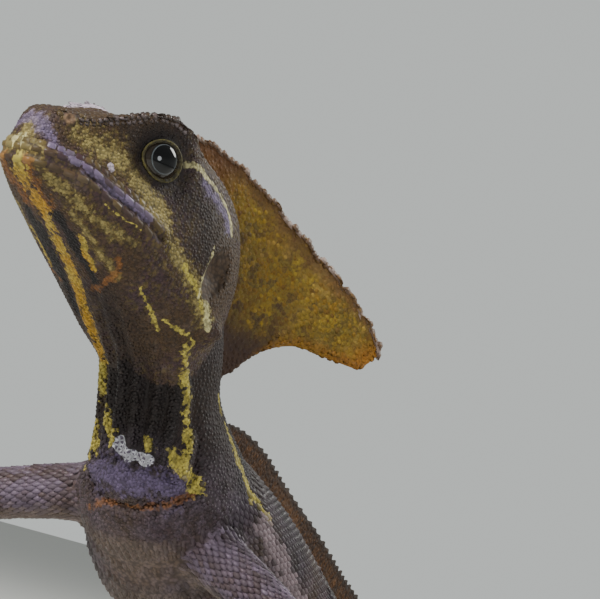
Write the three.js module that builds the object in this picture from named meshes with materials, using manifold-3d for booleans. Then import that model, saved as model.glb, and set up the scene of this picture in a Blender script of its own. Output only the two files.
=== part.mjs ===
// A life-size adult male common basilisk (Basiliscus basiliscus), resting on its belly and tail with the
// chest raised on sprawled forelegs and the head turned a little to its right.
// Millimetres. The animal faces -Y, its left side is +X, and it stands on the plane z = 0.
import * as THREE from "three";
import { mergeVertices } from "three/addons/utils/BufferGeometryUtils.js";
import Module from "manifold-3d";

const wasm = await Module();
wasm.setup();

// Driving dimensions
const GAP = 0.3; // air between two named pieces that touch
const FLOOR_DIP = 0.25; // how far soles and belly are pressed flat by the floor
const FACET_TOLERANCE = 0.125; // flats that bend less than this are merged
const TAIL_LENGTH = 430;
const TAIL_BASE_RADIUS = 8;
const TAIL_TIP_RADIUS = 0.7;
const EYE_RADIUS = 4.3;
const LID_THICKNESS = 0.9;
const LID_OPENING_RADIUS = 3.35;
const HEAD_YAW = 18; // degrees to the animal's right
const HEAD_PITCH = 9; // degrees nose up
const HEAD_ORIGIN = [-6.3, -23.5, 97.5]; // midway between the eyes
const SAIL_TOOTH_PITCH = 2.3;
const SAIL_RAY_EVERY = 3; // one stiff ray to each three edge teeth
const UPPER_ARM_RADIUS = 4.8;

const DEG = Math.PI / 180;
const vec = (x, y, z) => new THREE.Vector3(x, y, z);
const lerp = THREE.MathUtils.lerp;
const smooth = (t) => THREE.MathUtils.smoothstep(t, 0, 1);

// Curves through lists of three numbers
function curve(points) {
  const list = points.map((p) => (p.isVector3 ? p : vec(...p)));
  return new THREE.CatmullRomCurve3(list, false, "catmullrom", 0.5);
}

// A value read from a table of [place, value] rows, eased between them
function fromTable(rows, at) {
  if (at <= rows[0][0]) return rows[0][1];
  for (let i = 1; i < rows.length; i++) {
    const [a, low] = rows[i - 1];
    const [b, high] = rows[i];
    if (at <= b) return lerp(low, high, smooth((at - a) / (b - a)));
  }
  return rows[rows.length - 1][1];
}

// A closed surface from rings of equal point counts, with a fan over each end
function closeRings(rings) {
  const count = rings[0].length;
  const positions = rings.flat().flatMap((p) => p.toArray());
  const middle = (ring) =>
    ring.reduce((sum, p) => sum.add(p), vec(0, 0, 0)).divideScalar(count);
  positions.push(...middle(rings[0]).toArray());
  positions.push(...middle(rings[rings.length - 1]).toArray());
  const first = rings.length * count;
  const last = first + 1;
  const index = [];
  for (let i = 0; i + 1 < rings.length; i++) {
    for (let j = 0; j < count; j++) {
      const a = i * count + j;
      const b = i * count + ((j + 1) % count);
      index.push(a, b, a + count, b, b + count, a + count);
    }
  }
  const end = (rings.length - 1) * count;
  for (let j = 0; j < count; j++) {
    const next = (j + 1) % count;
    index.push(first, next, j);
    index.push(last, end + j, end + next);
  }
  const geometry = new THREE.BufferGeometry();
  geometry.setAttribute(
    "position",
    new THREE.BufferAttribute(new Float32Array(positions), 3),
  );
  geometry.setIndex(index);
  return geometry;
}

// Solids for joining and cutting
function solid(source) {
  const bare = source.clone();
  bare.deleteAttribute("normal");
  bare.deleteAttribute("uv");
  const merged = mergeVertices(bare, 1e-4);
  const vertProperties = new Float32Array(merged.attributes.position.array);
  const triVerts = new Uint32Array(merged.index.array);
  const made = new wasm.Manifold(
    new wasm.Mesh({ numProp: 3, vertProperties, triVerts }),
  );
  if (made.volume() > 0) return made;
  for (let i = 0; i < triVerts.length; i += 3) {
    [triVerts[i + 1], triVerts[i + 2]] = [triVerts[i + 2], triVerts[i + 1]];
  }
  return new wasm.Manifold(
    new wasm.Mesh({ numProp: 3, vertProperties, triVerts }),
  );
}

const join = (pieces) => pieces.reduce((all, piece) => all.add(piece));

const floorBlock = solid(
  new THREE.BoxGeometry(1600, 1600, 60).translate(0, 0, -30),
);

// The largest closed surface of a solid, standing on the floor, as a named mesh
function named(name, shape, material) {
  const trimmed = shape.subtract(floorBlock).simplify(FACET_TOLERANCE);
  const largest = trimmed
    .decompose()
    .reduce((best, body) => (body.volume() > best.volume() ? body : best));
  const { vertProperties, triVerts } = largest.getMesh();
  const geometry = new THREE.BufferGeometry();
  geometry.setAttribute(
    "position",
    new THREE.BufferAttribute(new Float32Array(vertProperties), 3),
  );
  geometry.setIndex(new THREE.BufferAttribute(new Uint32Array(triVerts), 1));
  const mesh = new THREE.Mesh(geometry, material);
  mesh.name = name;
  return mesh;
}

// The left-hand direction across a body line whose tangent runs towards the tail
const acrossBody = (tangent) => vec(tangent.y, -tangent.x, 0).normalize();

// A limb, trunk or tail: rounded sections along a centre line, with half-width, height above and height below
function tube(line, sizes, options) {
  const { sides, steps, from = 0, to = 1, grow = 0, domes = [false, false] } = options;
  const { side = acrossBody, fold = () => 0 } = options;
  const ringAt = (t, scale, shift) => {
    const centre = line.getPoint(t);
    const tangent = line.getTangent(t);
    const left = side(tangent, t);
    left.addScaledVector(tangent, -left.dot(tangent)).normalize();
    const up = left.clone().cross(tangent);
    const [width, above, below] = sizes(t);
    centre.addScaledVector(tangent, shift);
    const ring = [];
    for (let j = 0; j < sides; j++) {
      const angle = (2 * Math.PI * j) / sides;
      const height = Math.sin(angle) > 0 ? above : below;
      const swell = 1 + fold(t, angle);
      ring.push(
        centre
          .clone()
          .addScaledVector(left, (width * swell * scale + grow) * Math.cos(angle))
          .addScaledVector(up, (height * swell * scale + grow) * Math.sin(angle)),
      );
    }
    return ring;
  };
  const rings = [];
  const reach = (t) => Math.min(...sizes(t)) + grow;
  if (domes[0]) {
    rings.push(ringAt(from, 0.35, -0.62 * reach(from)));
    rings.push(ringAt(from, 0.78, -0.4 * reach(from)));
  }
  for (let i = 0; i <= steps; i++) rings.push(ringAt(lerp(from, to, i / steps), 1, 0));
  if (domes[1]) {
    rings.push(ringAt(to, 0.78, 0.4 * reach(to)));
    rings.push(ringAt(to, 0.35, 0.62 * reach(to)));
  }
  return closeRings(rings);
}

// Materials, from the photograph
const paint = (color, roughness) =>
  new THREE.MeshStandardMaterial({ color, roughness, metalness: 0 });
const brownHide = paint(0x4a3a30, 0.62);
const crestHide = paint(0x8a5f1c, 0.6);
const sailHide = paint(0x4d2f1e, 0.65);
const eyeGlass = paint(0x15110d, 0.08);

// Body line: neck, trunk and root of the tail, from inside the head backwards
// Each row: place, then half-width, height above (towards the back) and height below (towards the belly)
const BODY = [
  { at: [-3.6, -15, 87], size: [8.6, 9.5, 11] },
  { at: [-1.8, -8.7, 79.5], size: [9.4, 9.5, 12.2] },
  { at: [-1.1, -4.8, 71], size: [9.7, 9.3, 11.9] },
  { at: [-0.9, -2.2, 63], size: [9.9, 9.6, 10.6] },
  { at: [0, 2, 55.5], size: [12, 10.8, 12.8] },
  { at: [0, 10, 47.5], size: [16, 12.6, 17] },
  { at: [0, 24, 42], size: [17.2, 13, 17.6] },
  { at: [0, 38, 36], size: [17.4, 12.8, 16.6] },
  { at: [0, 54, 29.2], size: [17.4, 12.4, 15.6] },
  { at: [0, 70, 22.8], size: [17.8, 12.2, 16.2] },
  { at: [0, 86, 18], size: [16.6, 11.6, 16.6] },
  { at: [0, 100, 15.2], size: [14.2, 10.8, 15] },
  { at: [0, 112, 13.2], size: [11.8, 9.8, 13.2] },
  { at: [0.2, 124, 11], size: [9.4, 8.8, 11.2] },
  { at: [0.6, 136, 9.2], size: [8, 8.1, 9.1] },
];
const bodyLine = curve(BODY.map((row) => row.at));
const bodySizeLine = curve(BODY.map((row) => row.size));
const bodySize = (t) => bodySizeLine.getPoint(t).toArray();
const bodyPlace = (row) => row / (BODY.length - 1);
const DORSAL = Math.PI / 2;
const VENTRAL = 3 * DORSAL;

// Loose throat skin: long folds down the front of the neck, and the thick collar fold across its root
function throatFolds(t, angle) {
  const row = t * (BODY.length - 1);
  const front = Math.max(0, Math.cos(angle - VENTRAL));
  const folds = 0.055 * Math.cos(7 * (angle - VENTRAL)) * front;
  const neckPart = smooth((row - 1) / 1.2) * (1 - smooth((row - 3.4) / 0.8));
  const collar = 0.13 * front * Math.exp(-(((row - 4.25) / 0.42) ** 2));
  const crease = -0.1 * front * Math.exp(-(((row - 4.95) / 0.22) ** 2));
  const keel = 0.05 * Math.exp(-(((angle - DORSAL) / 0.3) ** 2)) * smooth(row - 3);
  return folds * neckPart + collar + crease + keel;
}

const bodyPart = (fromRow, toRow, sides, steps, grow = 0) =>
  solid(
    tube(bodyLine, bodySize, {
      sides,
      steps,
      from: bodyPlace(fromRow),
      to: bodyPlace(toRow),
      grow,
      fold: throatFolds,
    }),
  );
const LAST_BODY_ROW = BODY.length - 1;
const bodyCutter = bodyPart(0, LAST_BODY_ROW, 32, 56, GAP);

// Head, in its own directions: forward (snout), left and up, from the point midway between the eyes
const forward = vec(
  -Math.sin(HEAD_YAW * DEG) * Math.cos(HEAD_PITCH * DEG),
  -Math.cos(HEAD_YAW * DEG) * Math.cos(HEAD_PITCH * DEG),
  Math.sin(HEAD_PITCH * DEG),
);
const leftward = vec(Math.cos(HEAD_YAW * DEG), -Math.sin(HEAD_YAW * DEG), 0);
const upward = forward.clone().cross(leftward);
const headPoint = (f, l, u) =>
  vec(...HEAD_ORIGIN)
    .addScaledVector(forward, f)
    .addScaledVector(leftward, l)
    .addScaledVector(upward, u);
const headMatrix = new THREE.Matrix4()
  .makeBasis(forward, leftward, upward)
  .setPosition(...HEAD_ORIGIN);

// Sections of the head from snout to nape: heights of the top and throat on the midline, and
// [left, up] of the brow edge, cheek, lip, jaw edge and throat side
const HEAD = [
  { f: 21.2, top: -3.6, brow: [1.7, -3.9], cheek: [2.4, -5.8], lip: [2.4, -8.2], jaw: [2, -9.6], throat: [1.1, -10.2], low: -10.3 },
  { f: 20.5, top: -1, brow: [3.1, -1.4], cheek: [4, -4.9], lip: [4.2, -8.3], jaw: [3.7, -10.3], throat: [2.1, -11], low: -11.2 },
  { f: 18.6, top: 0.6, brow: [3.9, 0.4], cheek: [5.2, -4.2], lip: [5.7, -8.3], jaw: [5.2, -10.9], throat: [3, -11.9], low: -12.1 },
  { f: 16, top: 1.6, brow: [5.1, 0.5], cheek: [6, -3.7], lip: [7, -8.5], jaw: [6.5, -11.6], throat: [3.8, -12.9], low: -13.1 },
  { f: 13, top: 2.5, brow: [6.3, 1.7], cheek: [7, -3.2], lip: [8.5, -8.9], jaw: [8, -12.6], throat: [4.5, -14.2], low: -14.6 },
  { f: 8.5, top: 3.5, brow: [7.6, 4.1], cheek: [8.2, -2.2], lip: [9.8, -9.5], jaw: [9.3, -14.1], throat: [5.2, -16.4], low: -16.9 },
  { f: 4.4, top: 4.5, brow: [8.8, 6.3], cheek: [8.9, -1], lip: [10.8, -10], jaw: [10.2, -15.6], throat: [5.8, -18.7], low: -19.3 },
  { f: 0, top: 5.3, brow: [9.1, 7.1], cheek: [9.1, -0.2], lip: [11.5, -10.6], jaw: [10.9, -17], throat: [6.2, -20.9], low: -21.7 },
  { f: -4, top: 6, brow: [8.9, 6.5], cheek: [9.9, -1.2], lip: [12.1, -11.4], jaw: [11.5, -18.2], throat: [6.6, -23.1], low: -24.2 },
  { f: -8, top: 6.5, brow: [8.3, 4.6], cheek: [11, -3], lip: [12.6, -12.6], jaw: [12, -19.2], throat: [7, -25.2], low: -26.6 },
  { f: -13, top: 6.3, brow: [7.6, 2.8], cheek: [11.6, -5.4], lip: [12.9, -14.2], jaw: [12.3, -20.1], throat: [7.3, -27.4], low: -29.2 },
  { f: -18, top: 5.2, brow: [7, 0.8], cheek: [11.3, -7.6], lip: [12.6, -15.8], jaw: [12, -21], throat: [7.6, -29.4], low: -31.6 },
  { f: -22.5, top: 3, brow: [6.2, -1.6], cheek: [9.8, -9.4], lip: [10.6, -16.4], jaw: [9.8, -21.8], throat: [7.2, -30.4], low: -33 },
  { f: -26, top: -0.5, brow: [4.6, -5], cheek: [7, -11], lip: [7.6, -17], jaw: [7, -22.4], throat: [5.4, -29.6], low: -32 },
];
const HEAD_EDGES = ["brow", "cheek", "lip", "jaw", "throat"];
const headLine = (pick) => curve(HEAD.map((row) => vec(row.f, ...pick(row))));
const topLine = headLine((row) => [0, row.top]);
const lowLine = headLine((row) => [0, row.low]);
const edgeLines = HEAD_EDGES.map((edge) => headLine((row) => row[edge]));
const lipLine = edgeLines[HEAD_EDGES.indexOf("lip")];
const cheekLine = edgeLines[HEAD_EDGES.indexOf("cheek")];
const jawLine = edgeLines[HEAD_EDGES.indexOf("jaw")];
const headPlace = (row) => row / (HEAD.length - 1);
const mirrored = (p) => vec(p.x, -p.y, p.z);

function headSkull(spansBetweenRows, pointsPerSpan, grow = 0) {
  const rings = [];
  const count = (HEAD.length - 1) * spansBetweenRows;
  for (let i = 0; i <= count; i++) {
    const t = i / count;
    const left = edgeLines.map((line) => line.getPoint(t));
    const outline = [topLine.getPoint(t), ...left, lowLine.getPoint(t)];
    outline.push(...left.slice().reverse().map(mirrored));
    const loop = new THREE.CatmullRomCurve3(outline, true, "catmullrom", 0.5);
    const n = outline.length * pointsPerSpan;
    const points = Array.from({ length: n }, (_, j) => loop.getPoint(j / n));
    rings.push(points);
  }
  if (grow) {
    for (const ring of rings) {
      const swollen = ring.map((p, j) => {
        const before = ring[(j + ring.length - 1) % ring.length];
        const after = ring[(j + 1) % ring.length];
        const along = after.clone().sub(before).normalize();
        return p.clone().add(vec(0, along.z, -along.y).multiplyScalar(-grow));
      });
      ring.splice(0, ring.length, ...swollen);
    }
    for (const p of rings[rings.length - 1]) p.x -= grow;
    for (const p of rings[0]) p.x += grow;
  }
  return solid(closeRings(rings).applyMatrix4(headMatrix));
}

// An ellipsoid laid in the head's directions
function headBall(centre, radii, detail = [8, 5]) {
  const ball = new THREE.SphereGeometry(1, detail[0], detail[1]);
  ball.scale(...radii).translate(...centre);
  return solid(ball.applyMatrix4(headMatrix));
}

// A closed bead of small radius along points in the head's directions
function headBead(points, radii, steps, sides = 6) {
  const line = curve(points.map((p) => headPoint(...p)));
  const across = () => upward.clone();
  return solid(
    tube(line, () => radii, { sides, steps, side: across, domes: [true, true] }),
  );
}

const BOTH_SIDES = [1, -1];
const CORNER_ROW = 7.4; // the mouth ends just behind the eye
const EYE_CENTRE = [0.3, 6.1, -0.2];

// The line of the mouth round the snout, from one corner to the other, raised or sunk from the lip edge
function mouthLine(rise, out) {
  const half = [];
  const samples = 15;
  for (let i = 0; i <= samples; i++) {
    const p = lipLine.getPoint(headPlace(lerp(CORNER_ROW, 0.15, i / samples)));
    half.push([p.x, p.y + out, p.z + rise]);
  }
  const tip = lipLine.getPoint(0);
  const front = [[tip.x + out, 0, tip.z + rise]];
  const back = half.map(([f, l, u]) => [f, -l, u]).reverse();
  return [...half, ...front, ...back];
}

function makeHead() {
  const skull = headSkull(2, 2);
  const added = [];
  for (const side of BOTH_SIDES) {
    const [f, l, u] = EYE_CENTRE;
    added.push(headBall([f, side * l, u], Array(3).fill(EYE_RADIUS + GAP + LID_THICKNESS), [14, 8]));
    // Heavy brow over the eye, bony jaw corner, and the raised rim of the ear
    added.push(headBead([[13, side * 6.2, 1.3], [7, side * 7.9, 4.8], [1.5, side * 9.1, 6.8], [-4.5, side * 9, 6]], [0.8, 0.9, 0.9], 6));
    added.push(headBall([-19.6, side * 11.2, -20], [3.6, 1.9, 2.2], [8, 6]));
    added.push(headBall([-15.8, side * 10.9, -11.2], [3.6, 1.7, 4.1], [10, 6]));
    // Nostril rim
    added.push(headBall([16.6, side * 4.9, -0.3], [1.35, 0.75, 1.25], [8, 5]));
  }
  // Plates at the tip of the snout and chin
  added.push(headBall([21, 0, -6.2], [0.9, 1.5, 1.2], [6, 4]));
  added.push(headBall([20.8, 0, -9.5], [0.9, 1.4, 0.9], [6, 4]));
  // Lips, and the closed mouth as a groove between them
  added.push(headBead(mouthLine(0.95, -0.25), [0.75, 0.75, 0.75], 22, 4));
  added.push(headBead(mouthLine(-1.05, -0.35), [0.75, 0.75, 0.75], 22, 4));
  const cuts = [headBead(mouthLine(0, 0.35), [0.25, 1, 1], 22, 4)];
  for (const side of BOTH_SIDES) {
    const [f, l, u] = EYE_CENTRE;
    cuts.push(headBall([f, side * l, u], Array(3).fill(EYE_RADIUS + GAP), [14, 8]));
    const opening = new THREE.CylinderGeometry(LID_OPENING_RADIUS, LID_OPENING_RADIUS, 6, 16);
    opening.translate(f + 0.3, side * (l + 5.6), u);
    cuts.push(solid(opening.applyMatrix4(headMatrix)));
    // Ear: a round cup with the drum at its floor
    cuts.push(headBall([-15.9, side * 13, -11.2], [2.5, 1.7, 3], [10, 6]));
    const nostril = new THREE.CylinderGeometry(0.62, 0.62, 3, 8);
    nostril.rotateX(side * 20 * DEG).translate(16.8, side * 5.8, -0.1);
    cuts.push(solid(nostril.applyMatrix4(headMatrix)));
  }
  return join([skull, ...added]).subtract(join(cuts));
}

const headShape = makeHead();
const headCutter = headSkull(2, 2, GAP);

function makeEye(side) {
  const [f, l, u] = EYE_CENTRE;
  return headBall([f, side * l, u], Array(3).fill(EYE_RADIUS), [14, 9]);
}

// Head crest: a thin flap from the crown and nape, leaning a little to the left at its tip
// Each row pairs a point of the upper edge with one of the lower edge, as forward, left and up
const CREST = [
  { upper: [-2, 0, 5.6], lower: [-3, 0, 1] },
  { upper: [-8, 0, 7.9], lower: [-8, 0, -1] },
  { upper: [-14, 0, 8.9], lower: [-12, 0, -4] },
  { upper: [-20.5, 0, 8.8], lower: [-16, 0, -9] },
  { upper: [-28.5, 1, 7], lower: [-21, -0.5, -15] },
  { upper: [-36, 2.6, 4.2], lower: [-27.5, -2, -20.5] },
  { upper: [-43, 4.2, 1.6], lower: [-37, -1.9, -23] },
  { upper: [-49, 5.8, -0.9], lower: [-41.3, 0.5, -16.8] },
  { upper: [-54, 7, -3.5], lower: [-46.3, 2.5, -13.3] },
  { upper: [-58, 7.8, -6], lower: [-52, 4.8, -12.7] },
  { upper: [-60.4, 8, -8.2], lower: [-57.6, 7, -12.2] },
];
const CREST_BASE_THICKNESS = 2.6;
const CREST_EDGE_THICKNESS = 1;
const CREST_TEETH = 22;

function makeCrest() {
  const upper = curve(CREST.map((row) => row.upper));
  const lower = curve(CREST.map((row) => row.lower));
  const rings = [];
  const steps = 2 * CREST_TEETH;
  for (let i = 0; i <= steps; i++) {
    const t = i / steps;
    const high = upper.getPoint(t);
    const low = lower.getPoint(t);
    const tooth = i % 2 ? 0.55 : 0;
    const rise = high.clone().sub(low).normalize();
    high.addScaledVector(rise, tooth);
    const thin = lerp(1, 0.62, t);
    const left = [];
    const right = [];
    for (const share of [0.3, 0.8]) {
      const p = low.clone().lerp(high, share);
      const half = (thin * lerp(CREST_BASE_THICKNESS, CREST_EDGE_THICKNESS, share)) / 2;
      left.push(vec(p.x, p.y + half, p.z));
      right.unshift(vec(p.x, p.y - half, p.z));
    }
    rings.push([low, ...left, high, ...right]);
  }
  return solid(closeRings(rings).applyMatrix4(headMatrix));
}

// Tail line: first straight back, then swept round to the left with a gentle counter-bend at its tip
const TAIL_START = BODY[LAST_BODY_ROW].at;
const TAIL_KNOTS = 30;
const tailHeading = (s) => DEG * (4 + 128 * smooth(s / 0.72) - 62 * smooth((s - 0.62) / 0.38));
const tailRadius = (s) => lerp(TAIL_BASE_RADIUS, TAIL_TIP_RADIUS, s ** 0.72);

function makeTailLine() {
  const points = [vec(...TAIL_START)];
  const stride = TAIL_LENGTH / TAIL_KNOTS;
  for (let i = 1; i <= TAIL_KNOTS; i++) {
    const s = i / TAIL_KNOTS;
    const heading = tailHeading(s - 0.5 / TAIL_KNOTS);
    const next = points[i - 1].clone();
    next.x += stride * Math.sin(heading);
    next.y += stride * Math.cos(heading);
    next.z = tailRadius(s) * 1.12 - FLOOR_DIP * 0.6;
    points.push(next);
  }
  return curve(points);
}
const tailLine = makeTailLine();
const tailSize = (s) => {
  const r = tailRadius(s);
  return [r, r * 1.02, r * 1.12];
};
const tailPart = (from, to, sides, steps, grow = 0, domes = [false, false]) =>
  solid(tube(tailLine, tailSize, { sides, steps, from, to, grow, domes }));

// A finned strip along a line: stiff rays thicken it and its free edge is toothed
function finStrip({ line, root, height, from, to, teeth, side }) {
  const rings = [];
  const steps = 2 * teeth;
  for (let i = 0; i <= steps; i++) {
    const share = i / steps;
    const t = lerp(from, to, share);
    const tangent = line.getTangent(t);
    const left = side(tangent);
    const up = left.clone().cross(tangent);
    const base = line.getPoint(t).addScaledVector(up, root(t));
    const tooth = i % 2 ? 0.75 : 0;
    const onRay = Math.round(i / 2) % SAIL_RAY_EVERY === 0 && i % 2 === 1;
    const tall = Math.max(height(share), 0.4) + tooth;
    const half = onRay ? 0.85 : 0.5;
    const lean = tangent.clone().multiplyScalar(0.28);
    const place = (across, rise) =>
      base
        .clone()
        .addScaledVector(left, across)
        .addScaledVector(up, rise)
        .addScaledVector(lean, Math.max(rise, 0));
    rings.push([
      place(1.1, -3),
      place(half, tall * 0.7),
      place(0, tall),
      place(-half, tall * 0.7),
      place(-1.1, -3),
    ]);
  }
  return solid(closeRings(rings));
}

// Height of the back sail and of the tail fin along their length, from front to rear
const BACK_SAIL = [[0, 0.5], [0.1, 5.4], [0.22, 8], [0.42, 9.8], [0.62, 10], [0.8, 7.6], [0.93, 4.2], [1, 1.2]];
const TAIL_FIN = [[0, 1], [0.12, 6.5], [0.3, 9], [0.55, 7.6], [0.8, 4.2], [1, 0.8]];
const SAIL_FROM_ROW = 4.3;
const SAIL_TO_ROW = 12.6;
const TAIL_FIN_TO = 0.36;

const backSail = () =>
  finStrip({
    line: bodyLine,
    root: (t) => bodySize(t)[1],
    height: (share) => fromTable(BACK_SAIL, share),
    from: bodyPlace(SAIL_FROM_ROW),
    to: bodyPlace(SAIL_TO_ROW),
    teeth: 34,
    side: acrossBody,
  });
const tailFin = (from, to) =>
  finStrip({
    line: tailLine,
    root: (s) => tailSize(s)[1],
    height: (share) => fromTable(TAIL_FIN, lerp(from, to, share) / TAIL_FIN_TO),
    from,
    to,
    teeth: Math.round(((to - from) * TAIL_LENGTH) / (1.9 * SAIL_TOOTH_PITCH)),
    side: acrossBody,
  });

// Limbs: each segment is [points of its centre line, radii at its start, middle and end]
function limbSegment({ points, radii, sides = 12, steps = 6, flat = 1, grow = 0 }) {
  const line = curve(points);
  const middle = radii.length - 1;
  const size = (t) => {
    const i = Math.min(Math.floor(t * middle), middle - 1);
    const r = lerp(radii[i], radii[i + 1], smooth(t * middle - i));
    return [r, r * flat, r * flat];
  };
  const side = (tangent) => {
    const level = vec(-tangent.y, tangent.x, 0);
    return level.length() > 0.05 ? level.normalize() : vec(1, 0, 0);
  };
  return solid(tube(line, size, { sides, steps, side, grow, domes: [true, true] }));
}

// A toe with its hooked claw: it arches from the sole to the floor
function toe({ start, heading, length, radius }) {
  const aim = vec(Math.sin(heading), -Math.cos(heading), 0);
  const along = (share, z) => start.clone().addScaledVector(aim, length * share).setZ(z);
  const points = [
    start.clone().addScaledVector(aim, -0.12 * length),
    along(0.25, start.z + radius * 0.7),
    along(0.6, radius * 1.5),
    along(0.85, radius * 0.95),
    along(1, radius * 0.85),
  ];
  const line = curve(points);
  const size = (t) => {
    const knuckle = 1 + 0.12 * Math.cos(t * 6 * Math.PI);
    const r = radius * lerp(1, 0.72, t) * knuckle;
    return [r, r, r];
  };
  const side = (tangent) => vec(-tangent.y, tangent.x, 0).normalize();
  const finger = solid(tube(line, size, { sides: 5, steps: 4, side, domes: [false, false] }));
  const clawLength = 1.6 + radius * 1.7;
  const tip = along(1, radius * 0.85);
  const clawPoint = (reach, z) => tip.clone().addScaledVector(aim, clawLength * reach).setZ(z);
  const clawLine = curve([
    clawPoint(-0.35, radius * 0.9),
    clawPoint(0.3, radius * 1.35),
    clawPoint(0.75, radius * 0.95),
    clawPoint(1, 0.3),
  ]);
  const clawSize = (t) => {
    const r = lerp(radius * 0.55, 0.16, t);
    return [r * 0.8, r, r];
  };
  const claw = solid(tube(clawLine, clawSize, { sides: 4, steps: 3, side }));
  return finger.add(claw);
}

// Foreleg and hind leg on one side. Points are for the left leg, and the right one is mirrored
// with small changes of stance.
const FORELEG = {
  shoulder: [7.5, 6, 47],
  elbow: [42, 1, 35.5],
  wrist: [45, -15, 6.6],
  palm: [46.5, -20.5, 2.8],
  toes: [
    { turn: -52, length: 8 },
    { turn: -24, length: 12.5 },
    { turn: 2, length: 15 },
    { turn: 28, length: 14 },
    { turn: 66, length: 9.5 },
  ],
  heading: 14,
};
const HINDLEG = {
  hip: [5, 106, 15],
  knee: [43, 84, 21],
  ankle: [39, 123, 6.2],
  sole: [47, 107, 3.2],
  toes: [
    { turn: -34, length: 11 },
    { turn: -17, length: 18 },
    { turn: -2, length: 25 },
    { turn: 12, length: 31 },
    { turn: 52, length: 17 },
  ],
  heading: 26,
};

function legPoint(side, point, shift = [0, 0, 0]) {
  return vec(side * (point[0] + shift[0]), point[1] + shift[1], point[2] + shift[2]);
}

function makeFoot(side, base, leg, radius, spread) {
  return join(
    leg.toes.map(({ turn, length }) => {
      const heading = side * DEG * (leg.heading + turn);
      const aim = vec(Math.sin(heading), -Math.cos(heading), 0);
      const start = base.clone().addScaledVector(aim, spread).setZ(radius * 1.5);
      return toe({ start, heading, length, radius });
    }),
  );
}

function foreleg(side, name, shift, droop) {
  const shoulder = legPoint(side, FORELEG.shoulder, [0, 0, -0.5 * droop]);
  const elbow = legPoint(side, FORELEG.elbow, [shift[0], shift[1], -droop]);
  const wrist = legPoint(side, FORELEG.wrist, shift);
  const palm = legPoint(side, FORELEG.palm, shift);
  const upper = {
    points: [shoulder, shoulder.clone().lerp(elbow, 0.5).add(vec(0, -0.8, 1.2)), elbow],
    radii: [5.8, UPPER_ARM_RADIUS, 4.3, 3.7],
  };
  const lower = {
    points: [elbow, elbow.clone().lerp(wrist, 0.45).add(vec(side * 1.5, 1.4, 0)), wrist],
    radii: [3.5, 4, 3, 2.1],
  };
  const hand = {
    points: [wrist, wrist.clone().lerp(palm, 0.5).add(vec(0, 0, -0.6)), palm],
    radii: [1.9, 2.5, 2.6],
    steps: 3,
    sides: 10,
  };
  const palmPad = new THREE.SphereGeometry(1, 9, 5)
    .scale(4.2, 4.8, 2.6)
    .translate(palm.x, palm.y, 2.3);
  const elbowCutter = limbSegment({ ...upper, grow: GAP });
  const wristCutter = limbSegment({ ...lower, grow: GAP });
  const toes = makeFoot(side, palm, FORELEG, 1.15, 2.4);
  return [
    [`upper_arm_${name}`, limbSegment(upper).subtract(bodyCutter)],
    [`forearm_${name}`, limbSegment(lower).subtract(elbowCutter)],
    [`hand_${name}`, join([limbSegment(hand), solid(palmPad), toes]).subtract(wristCutter)],
  ];
}

function hindleg(side, name, shift) {
  const hip = legPoint(side, HINDLEG.hip);
  const knee = legPoint(side, HINDLEG.knee, shift);
  const ankle = legPoint(side, HINDLEG.ankle, shift);
  const sole = legPoint(side, HINDLEG.sole, shift);
  const upper = {
    points: [hip, hip.clone().lerp(knee, 0.5).add(vec(0, 1.5, 1.5)), knee],
    radii: [8, 7.6, 6, 4.4],
    sides: 16,
  };
  const lower = {
    points: [knee, knee.clone().lerp(ankle, 0.4).add(vec(side * 1.5, 0, 0.6)), ankle],
    radii: [4.1, 5, 3.6, 2.5],
  };
  const foot = {
    points: [ankle, ankle.clone().lerp(sole, 0.5).add(vec(side, 0, -0.8)), sole],
    radii: [2.5, 3, 3.1],
    steps: 3,
    sides: 10,
  };
  const solePad = new THREE.SphereGeometry(1, 9, 5)
    .scale(4.2, 6.4, 2.7)
    .translate(sole.x, sole.y, 2.4);
  const kneeCutter = limbSegment({ ...upper, grow: GAP });
  const ankleCutter = limbSegment({ ...lower, grow: GAP });
  const toes = makeFoot(side, sole, HINDLEG, 1.3, 3.6);
  return [
    [`thigh_${name}`, limbSegment(upper).subtract(bodyCutter)],
    [`shank_${name}`, limbSegment(lower).subtract(kneeCutter)],
    [`foot_${name}`, join([limbSegment(foot), solid(solePad), toes]).subtract(ankleCutter)],
  ];
}

// Assembly
const basilisk = new THREE.Group();
const place = (name, shape, material = brownHide) => {
  basilisk.add(named(name, shape, material));
};

place("head", headShape);
place("eye_left", makeEye(1), eyeGlass);
place("eye_right", makeEye(-1), eyeGlass);

// The body line is parted by thin cuts, each GAP wide
const lineLength = bodyLine.getLength();
const halfGap = (GAP / 2 / lineLength) * LAST_BODY_ROW;
const CHEST_ROW = 4.6;
const BELLY_ROW = 8;
const HIPS_ROW = 11;
place("neck", bodyPart(0.4, CHEST_ROW - halfGap, 32, 17).subtract(headCutter));
place("chest", bodyPart(CHEST_ROW + halfGap, BELLY_ROW - halfGap, 28, 12));
place("belly", bodyPart(BELLY_ROW + halfGap, HIPS_ROW - halfGap, 28, 8));
const tailSocket = tailPart(0, 0.1, 14, 4, GAP, [true, false]);
place("hips", bodyPart(HIPS_ROW + halfGap, LAST_BODY_ROW, 24, 9).subtract(tailSocket));

place("head_crest", makeCrest().subtract(headCutter).subtract(bodyCutter), crestHide);
place("back_sail", backSail().subtract(bodyCutter), sailHide);

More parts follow.
